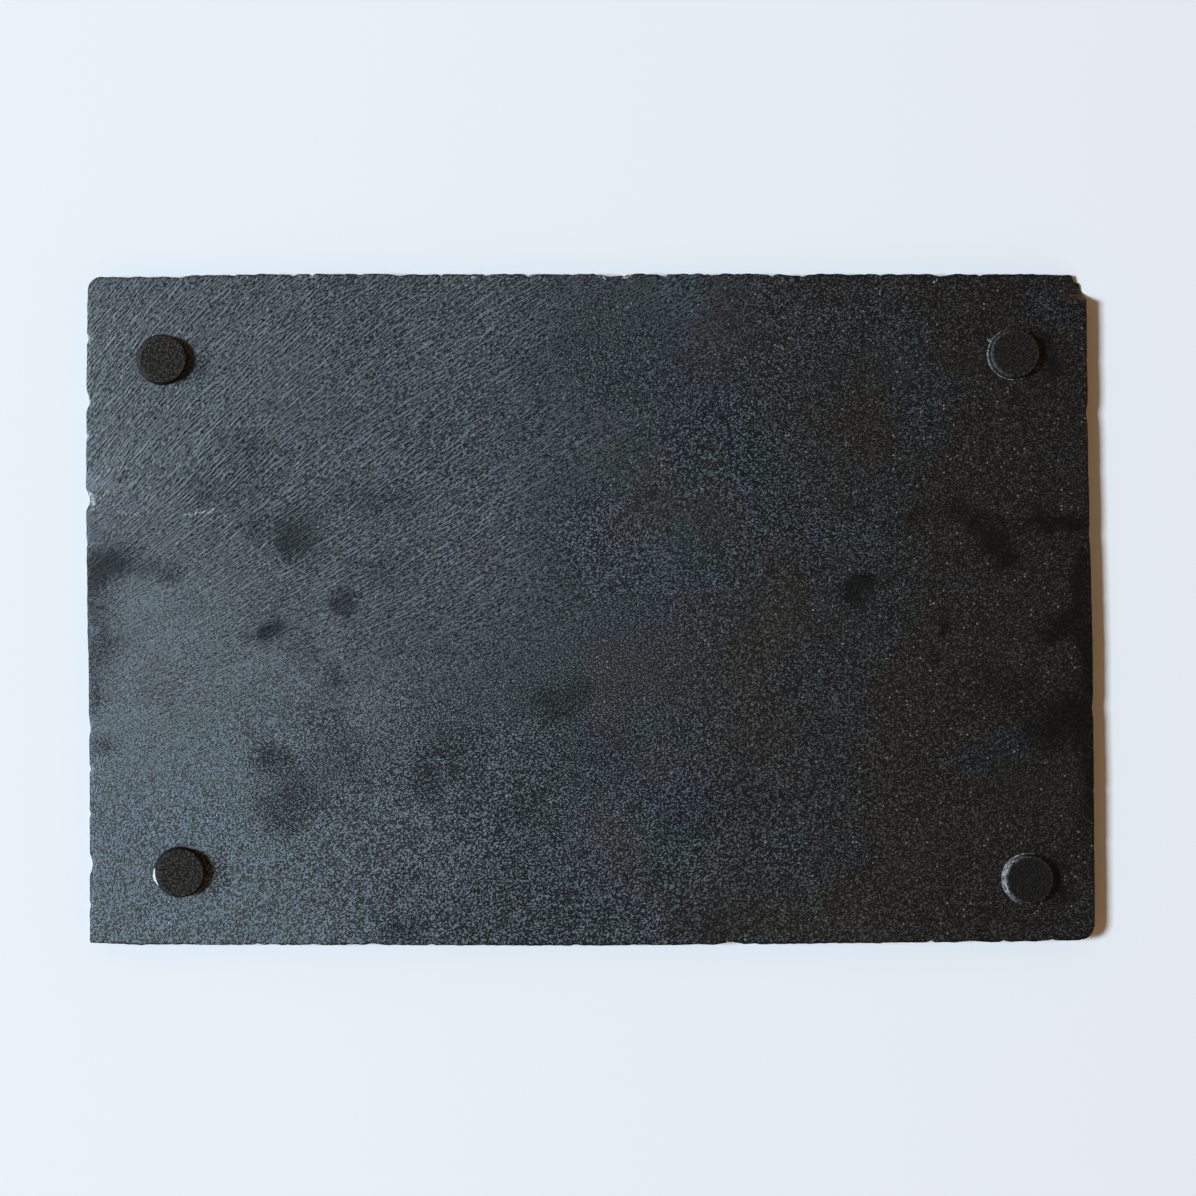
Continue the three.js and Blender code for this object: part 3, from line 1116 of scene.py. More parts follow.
@dataclass
class GlueCrumb:
    """Two bent threads of glue in a V, which cling to the rim of a film."""

    x: float = -6.9
    y: float = 3.9
    turns: Point = (125.0, 50.0)
    cuts: int = 4
    length: float = 1.5
    width: float = 0.24
    base_width_share: float = 1.1
    taper: float = 0.45
    bend: float = 0.12
    bends_per_mm: float = 3.0
    thickness: float = 0.16
    lift: float = 0.05
    climb: float = 0.06

    def strand(self, turn: float) -> Piece:
        """Makes one thread.

        Args:
            turn: The way that it runs, in degrees.

        Returns:
            The thread, beside a film that stands on the origin.
        """
        bpy.ops.mesh.primitive_cube_add(size=1.0)
        piece = start_piece("glue_strand")
        bpy.ops.object.mode_set(mode="EDIT")
        bpy.ops.mesh.subdivide(number_cuts=self.cuts)
        bpy.ops.object.mode_set(mode="OBJECT")
        run, across, rise = (read_points(piece) * MM).T
        angle = math.radians(turn)
        run = (run + 0.5) * self.length
        across = across * self.width * (self.base_width_share - self.taper * run)
        across = across + self.bend * np.sin(run * self.bends_per_mm)
        rise = (rise + 0.5) * self.thickness + self.lift + self.climb * run
        x = self.x + run * math.cos(angle) - across * math.sin(angle)
        y = self.y + run * math.sin(angle) + across * math.cos(angle)
        write_points(piece, np.column_stack([x, y, rise]))
        return piece

    def join_to(self, film: Piece) -> None:
        """Makes the threads and joins them to a film.

        Args:
            film: The film, which stands on the origin.
        """
        strands = [self.strand(turn) for turn in self.turns]
        bpy.ops.object.select_all(action="DESELECT")
        for piece in (*strands, film):
            piece.select_set(True)
        bpy.context.view_layer.objects.active = film
        bpy.ops.object.join()


@dataclass
class AdhesiveFilm:
    """The round adhesive film under one foot.

    Attributes:
        foot: The foot that it holds.
        tongue_reach: How far a torn tongue sticks out, or 0 for none.
        crumb: The crumb of glue that clings to its rim, if there is one.
        tongue_angle: Where the tongue is, in degrees.
        tongue_half_width: How wide it is to each side, in degrees.
        white_half_width: How wide its white part is to each side, in degrees.
    """

    foot: FoamFoot
    tongue_reach: float = 0.0
    crumb: GlueCrumb | None = None
    diameter: float = 15.2
    ease: float = 0.05
    ring_shares: tuple[float, ...] = (0.94, 0.85, 0.6, 0.3, 0.05)
    rim_width: float = 1.2
    ragged_reach: float = 0.09
    ragged_inset: float = 0.05
    tongue_angle: float = 192.0
    tongue_half_width: float = 19.0
    white_half_width: float = 16.0
    shading_angle: float = 40.0
    sides: int = 180

    def profile(self) -> list[Point]:
        """Lists the rings of the film, from its base over its rim to its middle.

        Returns:
            The (radius, height) of each ring.
        """
        radius = self.diameter / 2
        top = self.foot.film_thickness
        ease = self.ease
        rings = [(radius - ease, 0.0), (radius, ease), (radius, top - ease), (radius - ease, top)]
        return rings + [(radius * share, top) for share in self.ring_shares]

    def build(self, material: Material) -> Piece:
        """Makes the film.

        Args:
            material: Its finish.

        Returns:
            The finished piece.
        """
        piece = grow_disc(f"adhesive_film_{self.foot.place}", self.profile(), self.sides)
        x, y, z = read_points(piece).T
        radius = self.diameter / 2
        turn = np.arctan2(y, x)
        seed = 95 + len(self.foot.place)
        degrees = np.degrees(turn) % 360
        aside = np.abs(degrees - self.tongue_angle)
        rim = smooth((np.hypot(x, y) - radius + self.rim_width) / 1.1)
        ragged = self.ragged_reach * wave(turn * 11 + 40, 0.0, seed) - self.ragged_inset
        torn = (1 - smooth(aside / self.tongue_half_width)) * (0.5 + 0.5 * noise(degrees / 2.1, 0.0, 7))
        grown = 1 + rim * (ragged + self.tongue_reach * torn) / radius
        white = 1 - smooth((aside - self.white_half_width) / 6)
        write_values(piece, {"torn": white * float(self.tongue_reach > 0)})
        write_points(piece, np.column_stack([x * grown, y * grown, z]))
        if self.crumb:
            self.crumb.join_to(piece)
        middle = (self.foot.x + self.foot.film_x, self.foot.y + self.foot.film_y, self.foot.board_thickness)
        write_points(piece, read_points(piece) + np.array(middle))
        bpy.ops.object.shade_smooth_by_angle(angle=math.radians(self.shading_angle))
        dress(piece, material, "adhesive_film", f"adhesive_{self.foot.place}")
        return piece


# Finishes


class Wiring:
    """Adds and links the nodes of one tree."""

    def __init__(self, tree: bpy.types.NodeTree) -> None:
        """Takes the tree that it works on."""
        self.tree = tree

    def feed(self, socket: Socket, value: object) -> None:
        """Links an output to a socket, or sets the socket to a plain value."""
        if isinstance(value, Socket):
            self.tree.links.new(value, socket)
        else:
            socket.default_value = value

    def add(self, kind: str, values: dict[object, object], **settings: object) -> bpy.types.Node:
        """Adds one node.

        Args:
            kind: Type of the node, without the word that all of them start with.
            values: What its inputs get, by name or number.
            **settings: The node's own settings.

        Returns:
            The node.
        """
        node = self.tree.nodes.new(f"ShaderNode{kind}")
        for name, value in settings.items():
            setattr(node, name, value)
        for name, value in values.items():
            self.feed(node.inputs[name], value)
        return node

    def math(self, operation: str, a: object, b: object = 0.0, clamp: bool = False) -> Socket:
        """Result of one calculation."""
        return self.add("Math", {0: a, 1: b}, operation=operation, use_clamp=clamp).outputs[0]

    def times(self, *parts: object) -> Socket:
        """Product of all the parts."""
        return reduce(partial(self.math, "MULTIPLY"), parts)

    def plus(self, *parts: object) -> Socket:
        """Sum of all the parts."""
        return reduce(partial(self.math, "ADD"), parts)

    def without(self, share: object) -> Socket:
        """What a share from 0 to 1 leaves over."""
        return self.math("SUBTRACT", 1.0, share)

    def centred(self, value: object) -> Socket:
        """A value from 0 to 1, moved to lie about 0."""
        return self.math("SUBTRACT", value, 0.5)

    def blend(self, share: object, a: object, b: object) -> Socket:
        """Number between a and b."""
        return self.add("Mix", {0: share, 2: a, 3: b}).outputs[0]

    def tint(self, share: object, a: object, b: object) -> Socket:
        """Mixes two colours.

        Args:
            share: Share of the second colour.
            a: First colour, plain or linked.
            b: Second colour, plain or linked.

        Returns:
            The mixed colour.
        """
        a = (*a, 1.0) if isinstance(a, tuple) else a
        b = (*b, 1.0) if isinstance(b, tuple) else b
        return self.add("Mix", {0: share, 6: a, 7: b}, data_type="RGBA").outputs[2]

    def ramp(self, value: object, low: float, high: float) -> Socket:
        """Soft step from 0 at low to 1 at high."""
        values = {"Value": value, "From Min": low, "From Max": high}
        return self.add("MapRange", values, interpolation_type="SMOOTHSTEP").outputs[0]

    def stored(self, name: str, output: str = "Fac") -> Socket:
        """The values of that name that each vertex of the piece holds."""
        return self.add("Attribute", {}, attribute_name=name).outputs[output]

    def scaled(self, vector: object, factors: Triple) -> Socket:
        """A vector with its parts multiplied."""
        return self.add("Mapping", {"Vector": vector, "Scale": factors}).outputs[0]

    def noise(self, vector: object, scale: float, detail: float = 2.0) -> Socket:
        """Noise from 0 to 1."""
        return self.add("TexNoise", {"Vector": vector, "Scale": scale, "Detail": detail}).outputs["Fac"]

    def bump(self, height: object) -> Socket:
        """Normal of a surface with that height, in millimetres."""
        return self.add("Bump", {"Height": height, "Distance": MM}).outputs[0]

    def group(self, tree: bpy.types.NodeTree, values: dict[str, object]) -> bpy.types.Node:
        """Places a node group.

        Args:
            tree: The group.
            values: What its inputs get, by name.

        Returns:
            Its node.
        """
        node = self.tree.nodes.new("ShaderNodeGroup")
        node.node_tree = tree
        for name, value in values.items():
            self.feed(node.inputs[name], value)
        return node


def start_material(name: str) -> tuple[Material, Wiring, bpy.types.Node, Socket]:
    """Starts a material.

    Args:
        name: Its name.

    Returns:
        The material, its wiring, its shader and the piece's coordinates in millimetres.
    """
    made = bpy.data.materials.new(name)
    made.use_nodes = True
    wiring = Wiring(made.node_tree)
    place = wiring.scaled(wiring.add("TexCoord", {}).outputs["Object"], (1 / MM, 1 / MM, 1 / MM))
    return made, wiring, made.node_tree.nodes["Principled BSDF"], place


def start_group(
    name: str, inputs: dict[str, str], outputs: dict[str, str]
) -> tuple[Wiring, bpy.types.Node, bpy.types.Node]:
    """Starts a node group.

    Args:
        name: Its name.
        inputs: Socket types of its inputs, by name.
        outputs: Socket types of its outputs, by name.

    Returns:
        The wiring of the group, its input node and its output node.
    """
    tree = bpy.data.node_groups.new(name, "ShaderNodeTree")
    for socket, kind in inputs.items():
        tree.interface.new_socket(socket, in_out="INPUT", socket_type=f"NodeSocket{kind}")
    for socket, kind in outputs.items():
        tree.interface.new_socket(socket, in_out="OUTPUT", socket_type=f"NodeSocket{kind}")
    return Wiring(tree), tree.nodes.new("NodeGroupInput"), tree.nodes.new("NodeGroupOutput")


def crystal_group() -> bpy.types.NodeTree:
    """Scattered bright points, for painted glints of mica in the stone and for lint on the foam.

    Returns:
        A group that takes a vector, a scale, a share and a size, and gives a mask whose points differ
        in strength.
    """
    inputs = {"Vector": "Vector", "Scale": "Float", "Share": "Float", "Size": "Float"}
    wiring, start, end = start_group("scattered points", inputs, {"Mask": "Float"})
    cells = wiring.add("TexVoronoi", {"Vector": start.outputs["Vector"], "Scale": start.outputs["Scale"]})
    tone = wiring.add("SeparateColor", {0: cells.outputs["Color"]})
    kept = wiring.math("LESS_THAN", tone.outputs[0], start.outputs["Share"])
    away = wiring.math("DIVIDE", cells.outputs["Distance"], start.outputs["Size"])
    near = wiring.math("SUBTRACT", 1.0, away, clamp=True)
    wiring.feed(end.inputs["Mask"], wiring.times(kept, near, tone.outputs[1]))
    return wiring.tree


def grain_group() -> bpy.types.NodeTree:
    """Fine grain of two sizes, for the height of the stone and of the foam.

    Returns:
        A group that takes a vector and a scale, and gives a height from -1 to 1.
    """
    inputs = {"Vector": "Vector", "Scale": "Float"}
    wiring, start, end = start_group("fine grain", inputs, {"Height": "Float"})
    grain = wiring.centred(wiring.noise(start.outputs["Vector"], start.outputs["Scale"], 1.5))
    wiring.feed(end.inputs["Height"], wiring.times(grain, NOISE_SPREAD))
    return wiring.tree


def ply_group() -> bpy.types.NodeTree:
    """Thin broken plies of the cleft, as low steps with short risers.

    Returns:
        A group that takes the cleft map and the number of plies to a millimetre, and gives a height
        and a mask of the risers.
    """
    wander_scales = (0.05, 0.2, 0.0)
    wander_plies = 3.4
    gap_scales = (0.15, 0.7, 0.0)
    gap_span = (0.38, 0.62)
    tread_share = 0.72
    riser_span = (0.68, 0.76)
    inputs = {"Vector": "Vector", "Pitch": "Float"}
    wiring, start, end = start_group("broken plies", inputs, {"Height": "Float", "Riser": "Float"})
    cleft = start.outputs["Vector"]
    across = wiring.add("SeparateXYZ", {0: cleft}).outputs[1]
    wander = wiring.times(wiring.noise(wiring.scaled(cleft, wander_scales), 1.0), wander_plies)
    place = wiring.plus(wiring.times(across, start.outputs["Pitch"]), wander)
    share = wiring.math("FRACT", place)
    tread = wiring.math("DIVIDE", share, tread_share)
    riser = wiring.math("DIVIDE", wiring.without(share), 1 - tread_share)
    kept = wiring.ramp(wiring.noise(wiring.scaled(cleft, gap_scales), 1.0, 1.0), *gap_span)
    wiring.feed(end.inputs["Height"], wiring.times(wiring.math("MINIMUM", tread, riser), kept))
    wiring.feed(end.inputs["Riser"], wiring.times(wiring.ramp(share, *riser_span), kept))
    return wiring.tree


@dataclass(frozen=True)
class StoneZones:
    """What the stone is like at each point, as shares from 0 to 1 unless said otherwise.

    Attributes:
        place: Coordinates in millimetres.
        cleft: Coordinates along and across the cleavage lines, in millimetres.
        rightward: How far to the right a point lies.
        marked: How strongly the cleavage lines show.
        plain: How much a point belongs to the left end and is free of lines.
        oil_and_shade: How much oil the stone holds, with the painted shadows beside the feet and a thin dark
            line along the border.
        side: How much a point belongs to the dressed sides.
        fresh: How much of it is freshly broken.
        clouds: Broad noise, from -0.5 to 0.5.
        strata: Thin beds.
    """

    place: Socket
    cleft: Socket
    rightward: Socket
    marked: Socket
    plain: Socket
    oil_and_shade: Socket
    side: Socket
    fresh: Socket
    clouds: Socket
    strata: Socket


@dataclass(frozen=True)
class StoneGrain:
    """Grain of the cleft face.

    Attributes:
        height: Height of the grain, from -1 to 1.
        plies: Height of the broken plies, from 0 to 1.
        fleck: Share of pale fleck, and of the glint painted on the ply risers that face the window.
    """

    height: Socket
    plies: Socket
    fleck: Socket


@dataclass(frozen=True)
class SlateFinish:
    """Cleft slate: nearly black stone whose fine grain catches the window.

    Heights of the bump are in millimetres, and scales are in knots per millimetre. A span is where a
    soft step starts and ends.
    """

    crystals: bpy.types.NodeTree
    grain: bpy.types.NodeTree
    plies: bpy.types.NodeTree
    # Painted light: the ground and its pale grain are cool at the left, under the window's sheen, and warm at
    # the right, under the room's warm light.
    stone_painted_cool: Colour = (0.0042, 0.0055, 0.0060)
    stone_painted_warm: Colour = (0.0070, 0.0052, 0.0040)
    # Oil stains, and the shadows painted beside the feet, take this dark colour.
    oil_and_shade_stone: Colour = (0.0030, 0.0026, 0.0021)
    green_grain: Colour = (0.052, 0.088, 0.102)
    blue_grain: Colour = (0.060, 0.080, 0.116)
    grain_painted_warm: Colour = (0.027, 0.0235, 0.021)
    # Painted sheen: bright blue flecks at the left end, for the window's sheen there.
    plain_grain_painted_sheen: Colour = (0.103, 0.172, 0.222)
    broken_stone: Colour = (0.40, 0.43, 0.45)
    mica_glint: Colour = (0.36, 0.37, 0.38)
    side_stone: Colour = (0.020, 0.021, 0.022)
    side_vein: Colour = (0.052, 0.056, 0.060)
    dry_roughness: float = 0.26
    plain_roughness: float = 0.07
    cloud_roughness: float = 0.1
    right_roughness: float = 0.205
    fleck_roughness: float = 0.36
    plain_fleck_roughness: float = 0.30
    right_fleck_roughness: float = 0.165
    oiled_roughness: float = 0.235
    right_oiled_roughness: float = 0.195
    broken_roughness: float = 0.62
    ior: float = 1.7
    specular_level: float = 1.0
    rightward_span: Point = (-60.0, 165.0)
    left_end_span: Point = (-120.0, -10.0)
    marked_span: Point = (0.2, 0.75)
    tone_and_painted_warmth_span: Point = (0.1, 0.9)
    cloud_scale: float = 0.028
    patch_scale: float = 0.05
    patch_span: Point = (0.42, 0.58)
    strata_scales: Triple = (0.06, 0.06, 2.6)
    vein_span: Point = (0.42, 0.7)
    mica_glint_share: float = 0.12
    mica_glint_size: float = 0.36
    long_grain_scales: Triple = (0.75, 2.05, 1.0)
    long_fleck_span: Point = (-0.1, 0.55)
    round_grain_scales: Triple = (1.65, 2.1, 1.9)
    round_fleck_span: Point = (-0.08, 0.56)
    round_share_in_lines: float = 0.35
    oiled_fleck: float = 0.25
    riser_painted_glint: float = 0.6
    oiled_riser_painted_glint: float = 0.2
    plies_per_mm: float = 0.62
    ply_height: float = 0.055
    streak_scales: Triple = (0.1, 0.85, 0.0)
    streak_height: float = 0.045
    grain_height: float = 0.032
    strata_height: float = 0.12
    left_relief: float = 1.15
    right_relief: float = 0.58
    oiled_relief: float = 0.3
    spall_step: float = 0.9
    oil_grain_scale: float = 0.8
    oil_grain: float = 0.8
    oil_span: Point = (0.0, 0.9)
    jag_scale: float = 0.9
    jag_reach: float = 2.4
    scar_widening: float = 1.2
    scar_side_span: Point = (0.5, 1.3)
    scar_speckle_scale: float = 1.3
    scar_speckle_span: Point = (0.42, 0.6)

    def material(self) -> Material:
        """Builds the material of the stone."""
        made, wiring, shader, place = start_material("cleft slate")
        zones = self.zones(wiring, place)
        grain = self.grains(wiring, zones)
        wiring.feed(shader.inputs["Base Color"], self.colour(wiring, zones, grain))
        wiring.feed(shader.inputs["Roughness"], self.roughness(wiring, zones, grain))
        wiring.feed(shader.inputs["Normal"], wiring.bump(self.height(wiring, zones, grain)))
        shader.inputs["IOR"].default_value = self.ior
        shader.inputs["Specular IOR Level"].default_value = self.specular_level
        return made

    def zones(self, wiring: Wiring, place: Socket) -> StoneZones:
        """Finds what the stone is like at each point.

        Args:
            wiring: Wiring of the material.
            place: Coordinates in millimetres.

        Returns:
            The zones of the stone.
        """
        place_x = wiring.add("SeparateXYZ", {0: place}).outputs[0]
        marked = wiring.ramp(wiring.stored("lined"), *self.marked_span)
        left_end = wiring.without(wiring.ramp(place_x, *self.left_end_span))
        return StoneZones(
            place=place,
            cleft=wiring.stored("cleft_map", "Vector"),
            rightward=wiring.ramp(place_x, *self.rightward_span),
            marked=marked,
            plain=wiring.times(left_end, wiring.without(marked)),
            oil_and_shade=self.oil_and_shade(wiring, place),
            side=wiring.stored("side"),
            fresh=self.fresh(wiring, place),
            clouds=wiring.centred(wiring.noise(place, self.cloud_scale, 3.0)),
            strata=wiring.noise(wiring.scaled(place, self.strata_scales), 1.0, 1.5),
        )

    def oil_and_shade(self, wiring: Wiring, place: Socket) -> Socket:
        """Share of oil in the stone, which the grain takes up unevenly, with the painted shade that is stored
        with it.

        Args:
            wiring: Wiring of the material.
            place: Coordinates in millimetres.

        Returns:
            The share, from 0 to 1.
        """
        stored = wiring.stored("oil_and_shade")
        uneven = wiring.centred(wiring.noise(place, self.oil_grain_scale, 3.0))
        uneven = wiring.times(uneven, wiring.ramp(stored, 0.0, 0.25))
        return wiring.ramp(wiring.plus(stored, wiring.times(uneven, self.oil_grain)), *self.oil_span)

    def fresh(self, wiring: Wiring, place: Socket) -> Socket:
        """Share of freshly broken stone, in thin jagged lines along the scars.

        Args:
            wiring: Wiring of the material.
            place: Coordinates in millimetres.

        Returns:
            The share, from 0 to 1.
        """
        scar = wiring.stored("scarred", "Vector")
        aside, inside, half_width = wiring.add("SeparateXYZ", {0: scar}).outputs
        jag = wiring.centred(wiring.noise(place, self.jag_scale, 1.0))
        aside = wiring.math("ABSOLUTE", wiring.plus(aside, wiring.times(jag, self.jag_reach)))
        width = wiring.plus(wiring.times(half_width, self.scar_widening), 0.001)
        core = wiring.without(wiring.ramp(wiring.math("DIVIDE", aside, width), *self.scar_side_span))
        speckle = wiring.ramp(wiring.noise(place, self.scar_speckle_scale, 1.0), *self.scar_speckle_span)
        strength = wiring.ramp(half_width, 0.0, 0.3)
        return wiring.times(core, wiring.ramp(inside, 0.0, 0.5), strength, speckle)

    def grains(self, wiring: Wiring, zones: StoneZones) -> StoneGrain:
        """Makes the grain: long between the cleavage lines, and round where there are none.

        Args:
            wiring: Wiring of the material.
            zones: The zones of the stone.

        Returns:
            The grain of the cleft face.
        """
        plies = wiring.group(self.plies, {"Vector": zones.cleft, "Pitch": self.plies_per_mm}).outputs
        long_grain = self.one_grain(wiring, zones, self.long_grain_scales)
        round_grain = self.one_grain(wiring, zones, self.round_grain_scales)
        round_share = wiring.blend(zones.marked, 1.0, self.round_share_in_lines)
        long_fleck = wiring.times(wiring.ramp(long_grain, *self.long_fleck_span), zones.marked)
        round_fleck = wiring.times(wiring.ramp(round_grain, *self.round_fleck_span), round_share)
        fleck = wiring.math("MAXIMUM", long_fleck, round_fleck)
        fleck = wiring.times(fleck, wiring.blend(zones.oil_and_shade, 1.0, self.oiled_fleck))
        # Painted glint: the ply risers, which face the window, are painted pale.
        riser_painted_glint = wiring.blend(zones.oil_and_shade, self.riser_painted_glint, self.oiled_riser_painted_glint)
        riser_painted_glint = wiring.times(plies["Riser"], zones.marked, riser_painted_glint)
        long_grain = wiring.times(long_grain, zones.marked)
        round_grain = wiring.times(round_grain, round_share)
        return StoneGrain(
            height=wiring.plus(long_grain, round_grain),
            plies=plies["Height"],
            fleck=wiring.math("MAXIMUM", fleck, riser_painted_glint),
        )

    def one_grain(self, wiring: Wiring, zones: StoneZones, scales: Triple) -> Socket:
        """Fine grain along the cleft, with its own scale in each direction."""
        values = {"Vector": wiring.scaled(zones.cleft, scales), "Scale": 1.0}
        return wiring.group(self.grain, values).outputs["Height"]

    def colour(self, wiring: Wiring, zones: StoneZones, grain: StoneGrain) -> Socket:
        """Colour of the stone: dark ground painted cool to warm, oil stains with painted shade, pale flecks
        with painted glints and sheen, painted mica glints, veined sides and fresh breaks.

        Args:
            wiring: Wiring of the material.
            zones: The zones of the stone.
            grain: Its grain.

        Returns:
            The colour.
        """
        # Painted light: the colour turns from cool at the left to warm at the right, with random clouds on
        # top.
        tone_and_painted_warmth = wiring.plus(wiring.times(zones.clouds, 2.0), zones.rightward)
        tone_and_painted_warmth = wiring.ramp(tone_and_painted_warmth, *self.tone_and_painted_warmth_span)
        stone = wiring.tint(tone_and_painted_warmth, self.stone_painted_cool, self.stone_painted_warm)
        # Painted shade: the dark colour of the oil stains also paints the shadows beside the feet and a thin
        # line along the border.
        stone = wiring.tint(zones.oil_and_shade, stone, self.oil_and_shade_stone)
        patches = wiring.ramp(wiring.noise(zones.place, self.patch_scale, 1.0), *self.patch_span)
        pale_grain = wiring.tint(patches, self.green_grain, self.blue_grain)
        pale_grain = wiring.tint(tone_and_painted_warmth, pale_grain, self.grain_painted_warm)
        # Painted sheen: the flecks at the left end turn bright blue.
        pale_grain = wiring.tint(zones.plain, pale_grain, self.plain_grain_painted_sheen)
        stone = wiring.tint(grain.fleck, stone, pale_grain)
        # Painted glints: scattered mica points are painted pale where the stone is dry.
        points = {"Vector": zones.place, "Scale": 1.0, "Share": self.mica_glint_share, "Size": self.mica_glint_size}
        mica_glint = wiring.group(self.crystals, points).outputs["Mask"]
        stone = wiring.tint(wiring.times(mica_glint, wiring.without(zones.oil_and_shade)), stone, self.mica_glint)
        flank = wiring.tint(wiring.ramp(zones.strata, *self.vein_span), self.side_stone, self.side_vein)
        stone = wiring.tint(zones.side, stone, flank)
        return wiring.tint(zones.fresh, stone, self.broken_stone)

    def roughness(self, wiring: Wiring, zones: StoneZones, grain: StoneGrain) -> Socket:
        """Roughness of the stone: smoother to the right, and coarser on the flecks.

        Args:
            wiring: Wiring of the material.
            zones: The zones of the stone.
            grain: Its grain.

        Returns:
            The roughness.
        """
        roughness = wiring.blend(zones.rightward, self.dry_roughness, self.right_roughness)
        roughness = wiring.plus(roughness, wiring.times(zones.clouds, self.cloud_roughness))
        roughness = wiring.plus(roughness, wiring.times(zones.plain, self.plain_roughness))
        oiled = wiring.blend(zones.rightward, self.oiled_roughness, self.right_oiled_roughness)
        roughness = wiring.blend(zones.oil_and_shade, roughness, oiled)
        coarser = wiring.blend(zones.rightward, self.fleck_roughness, self.right_fleck_roughness)
        coarser = wiring.plus(coarser, wiring.times(zones.plain, self.plain_fleck_roughness))
        roughness = wiring.plus(roughness, wiring.times(grain.fleck, coarser))
        broken = wiring.math("MAXIMUM", zones.side, zones.fresh)
        return wiring.blend(broken, roughness, self.broken_roughness)

    def height(self, wiring: Wiring, zones: StoneZones, grain: StoneGrain) -> Socket:
        """Height of the fine relief, which oil fills and which is lower at the right.

        Args:
            wiring: Wiring of the material.
            zones: The zones of the stone.
            grain: Its grain.

        Returns:
            The height, in millimetres.
        """
        streaks = wiring.centred(wiring.noise(wiring.scaled(zones.cleft, self.streak_scales), 1.0))
        streaks = wiring.times(streaks, NOISE_SPREAD * self.streak_height)
        ply = wiring.times(grain.plies, self.ply_height)
        streaks = wiring.times(wiring.plus(streaks, ply), zones.marked)
        fine = wiring.times(grain.height, self.grain_height)
        filled = wiring.blend(wiring.stored("oil_and_shade"), 1.0, self.oiled_relief)
        relief = wiring.times(wiring.plus(streaks, fine), filled)
        relief = wiring.times(relief, wiring.blend(zones.rightward, self.left_relief, self.right_relief))
        layers = wiring.times(zones.strata, zones.side, self.strata_height)
        return wiring.plus(relief, layers, self.terraces(wiring))

    def terraces(self, wiring: Wiring) -> Socket:
        """Height that breaks the slope of the spall into level plies with thin risers."""
        ply = wiring.math("DIVIDE", wiring.stored("thinned"), self.spall_step)
        return wiring.times(wiring.math("FRACT", ply), self.spall_step)


@dataclass(frozen=True)
class FoamFinish:
    """Black foam rubber, dusty on its end and smooth where it was cut, with pale light painted on the cut
    side that faces the window and a painted highlight round the rim.
    """

    crystals: bpy.types.NodeTree
    grain: bpy.types.NodeTree
    foam: Colour = (0.0035, 0.0030, 0.0026)
    dust_and_sheen_foam: Colour = (0.047, 0.036, 0.028)
    cut_side: Colour = (0.004, 0.005, 0.007)
    painted_light_grey: Colour = (0.36, 0.36, 0.35)
    lint: Colour = (0.11, 0.095, 0.08)
    dust_scale: float = 1.5
    dust_span: Point = (0.48, 0.6)
    lint_scale: float = 1.5
    lint_share: float = 0.2
    lint_size: float = 0.3
    pore_scale: float = 2.2
    pore_depth: float = 0.09
    side_pores: float = 0.35
    end_roughness: float = 0.6
    side_roughness: float = 0.8
    specular_level: float = 0.16

    def material(self) -> Material:
        """Builds the material of the feet."""
        made, wiring, shader, place = start_material("foam rubber")
        wall = wiring.stored("wall")
        # Dust, with painted sheen: the left feet's ends get more of this brown.
        mottle = wiring.ramp(wiring.noise(place, self.dust_scale), *self.dust_span)
        mottle = wiring.times(mottle, wiring.stored("dust_and_sheen"))
        colour = wiring.tint(mottle, self.foam, self.dust_and_sheen_foam)
        points = {
            "Vector": place, "Scale": self.lint_scale, "Share": self.lint_share, "Size": self.lint_size,
        }
        lint = wiring.group(self.crystals, points).outputs["Mask"]
        colour = wiring.tint(lint, colour, self.lint)
        # Painted light: the cut side is pale grey where it faces the window.
        side = wiring.tint(wiring.stored("painted_lit_side"), self.cut_side, self.painted_light_grey)
        colour = wiring.tint(wall, colour, side)
        # Painted highlight round the rim of the end.
        colour = wiring.tint(wiring.stored("rim"), colour, self.painted_light_grey)
        wiring.feed(shader.inputs["Base Color"], colour)
        wiring.feed(shader.inputs["Roughness"], wiring.blend(wall, self.end_roughness, self.side_roughness))
        pores = wiring.group(self.grain, {"Vector": place, "Scale": self.pore_scale}).outputs["Height"]
        pores = wiring.times(pores, self.pore_depth, wiring.blend(wall, 1.0, self.side_pores))
        wiring.feed(shader.inputs["Normal"], wiring.bump(pores))
        shader.inputs["Specular IOR Level"].default_value = self.specular_level
        return made


@dataclass(frozen=True)
class FilmFinish:
    """Adhesive film: white where it is torn, greyed with dust elsewhere."""

    name: str
    colour: Colour
    torn_colour: Colour = (0.90, 0.91, 0.92)
    dusty_share: float = 0.18
    dust_scale: float = 1.1
    dust_span: Point = (0.4, 0.62)
    torn_span: Point = (0.2, 0.5)
    clean_roughness: float = 0.32
    dusty_roughness: float = 0.57
    crease_scale: float = 2.5
    crease_height: float = 0.03

    def material(self) -> Material:
        """Builds the material of a film."""
        made, wiring, shader, place = start_material(self.name)
        clouds = wiring.noise(place, self.dust_scale, 3.0)
        dusty = tuple(part * self.dusty_share for part in self.colour)
        colour = wiring.tint(wiring.ramp(clouds, *self.dust_span), self.colour, dusty)
        torn = wiring.ramp(wiring.stored("torn"), *self.torn_span)
        wiring.feed(shader.inputs["Base Color"], wiring.tint(torn, colour, self.torn_colour))
        roughness = wiring.blend(clouds, self.clean_roughness, self.dusty_roughness)
        wiring.feed(shader.inputs["Roughness"], roughness)
        creases = wiring.times(wiring.noise(place, self.crease_scale), self.crease_height)
        wiring.feed(shader.inputs["Normal"], wiring.bump(creases))
        return made


# Surroundings


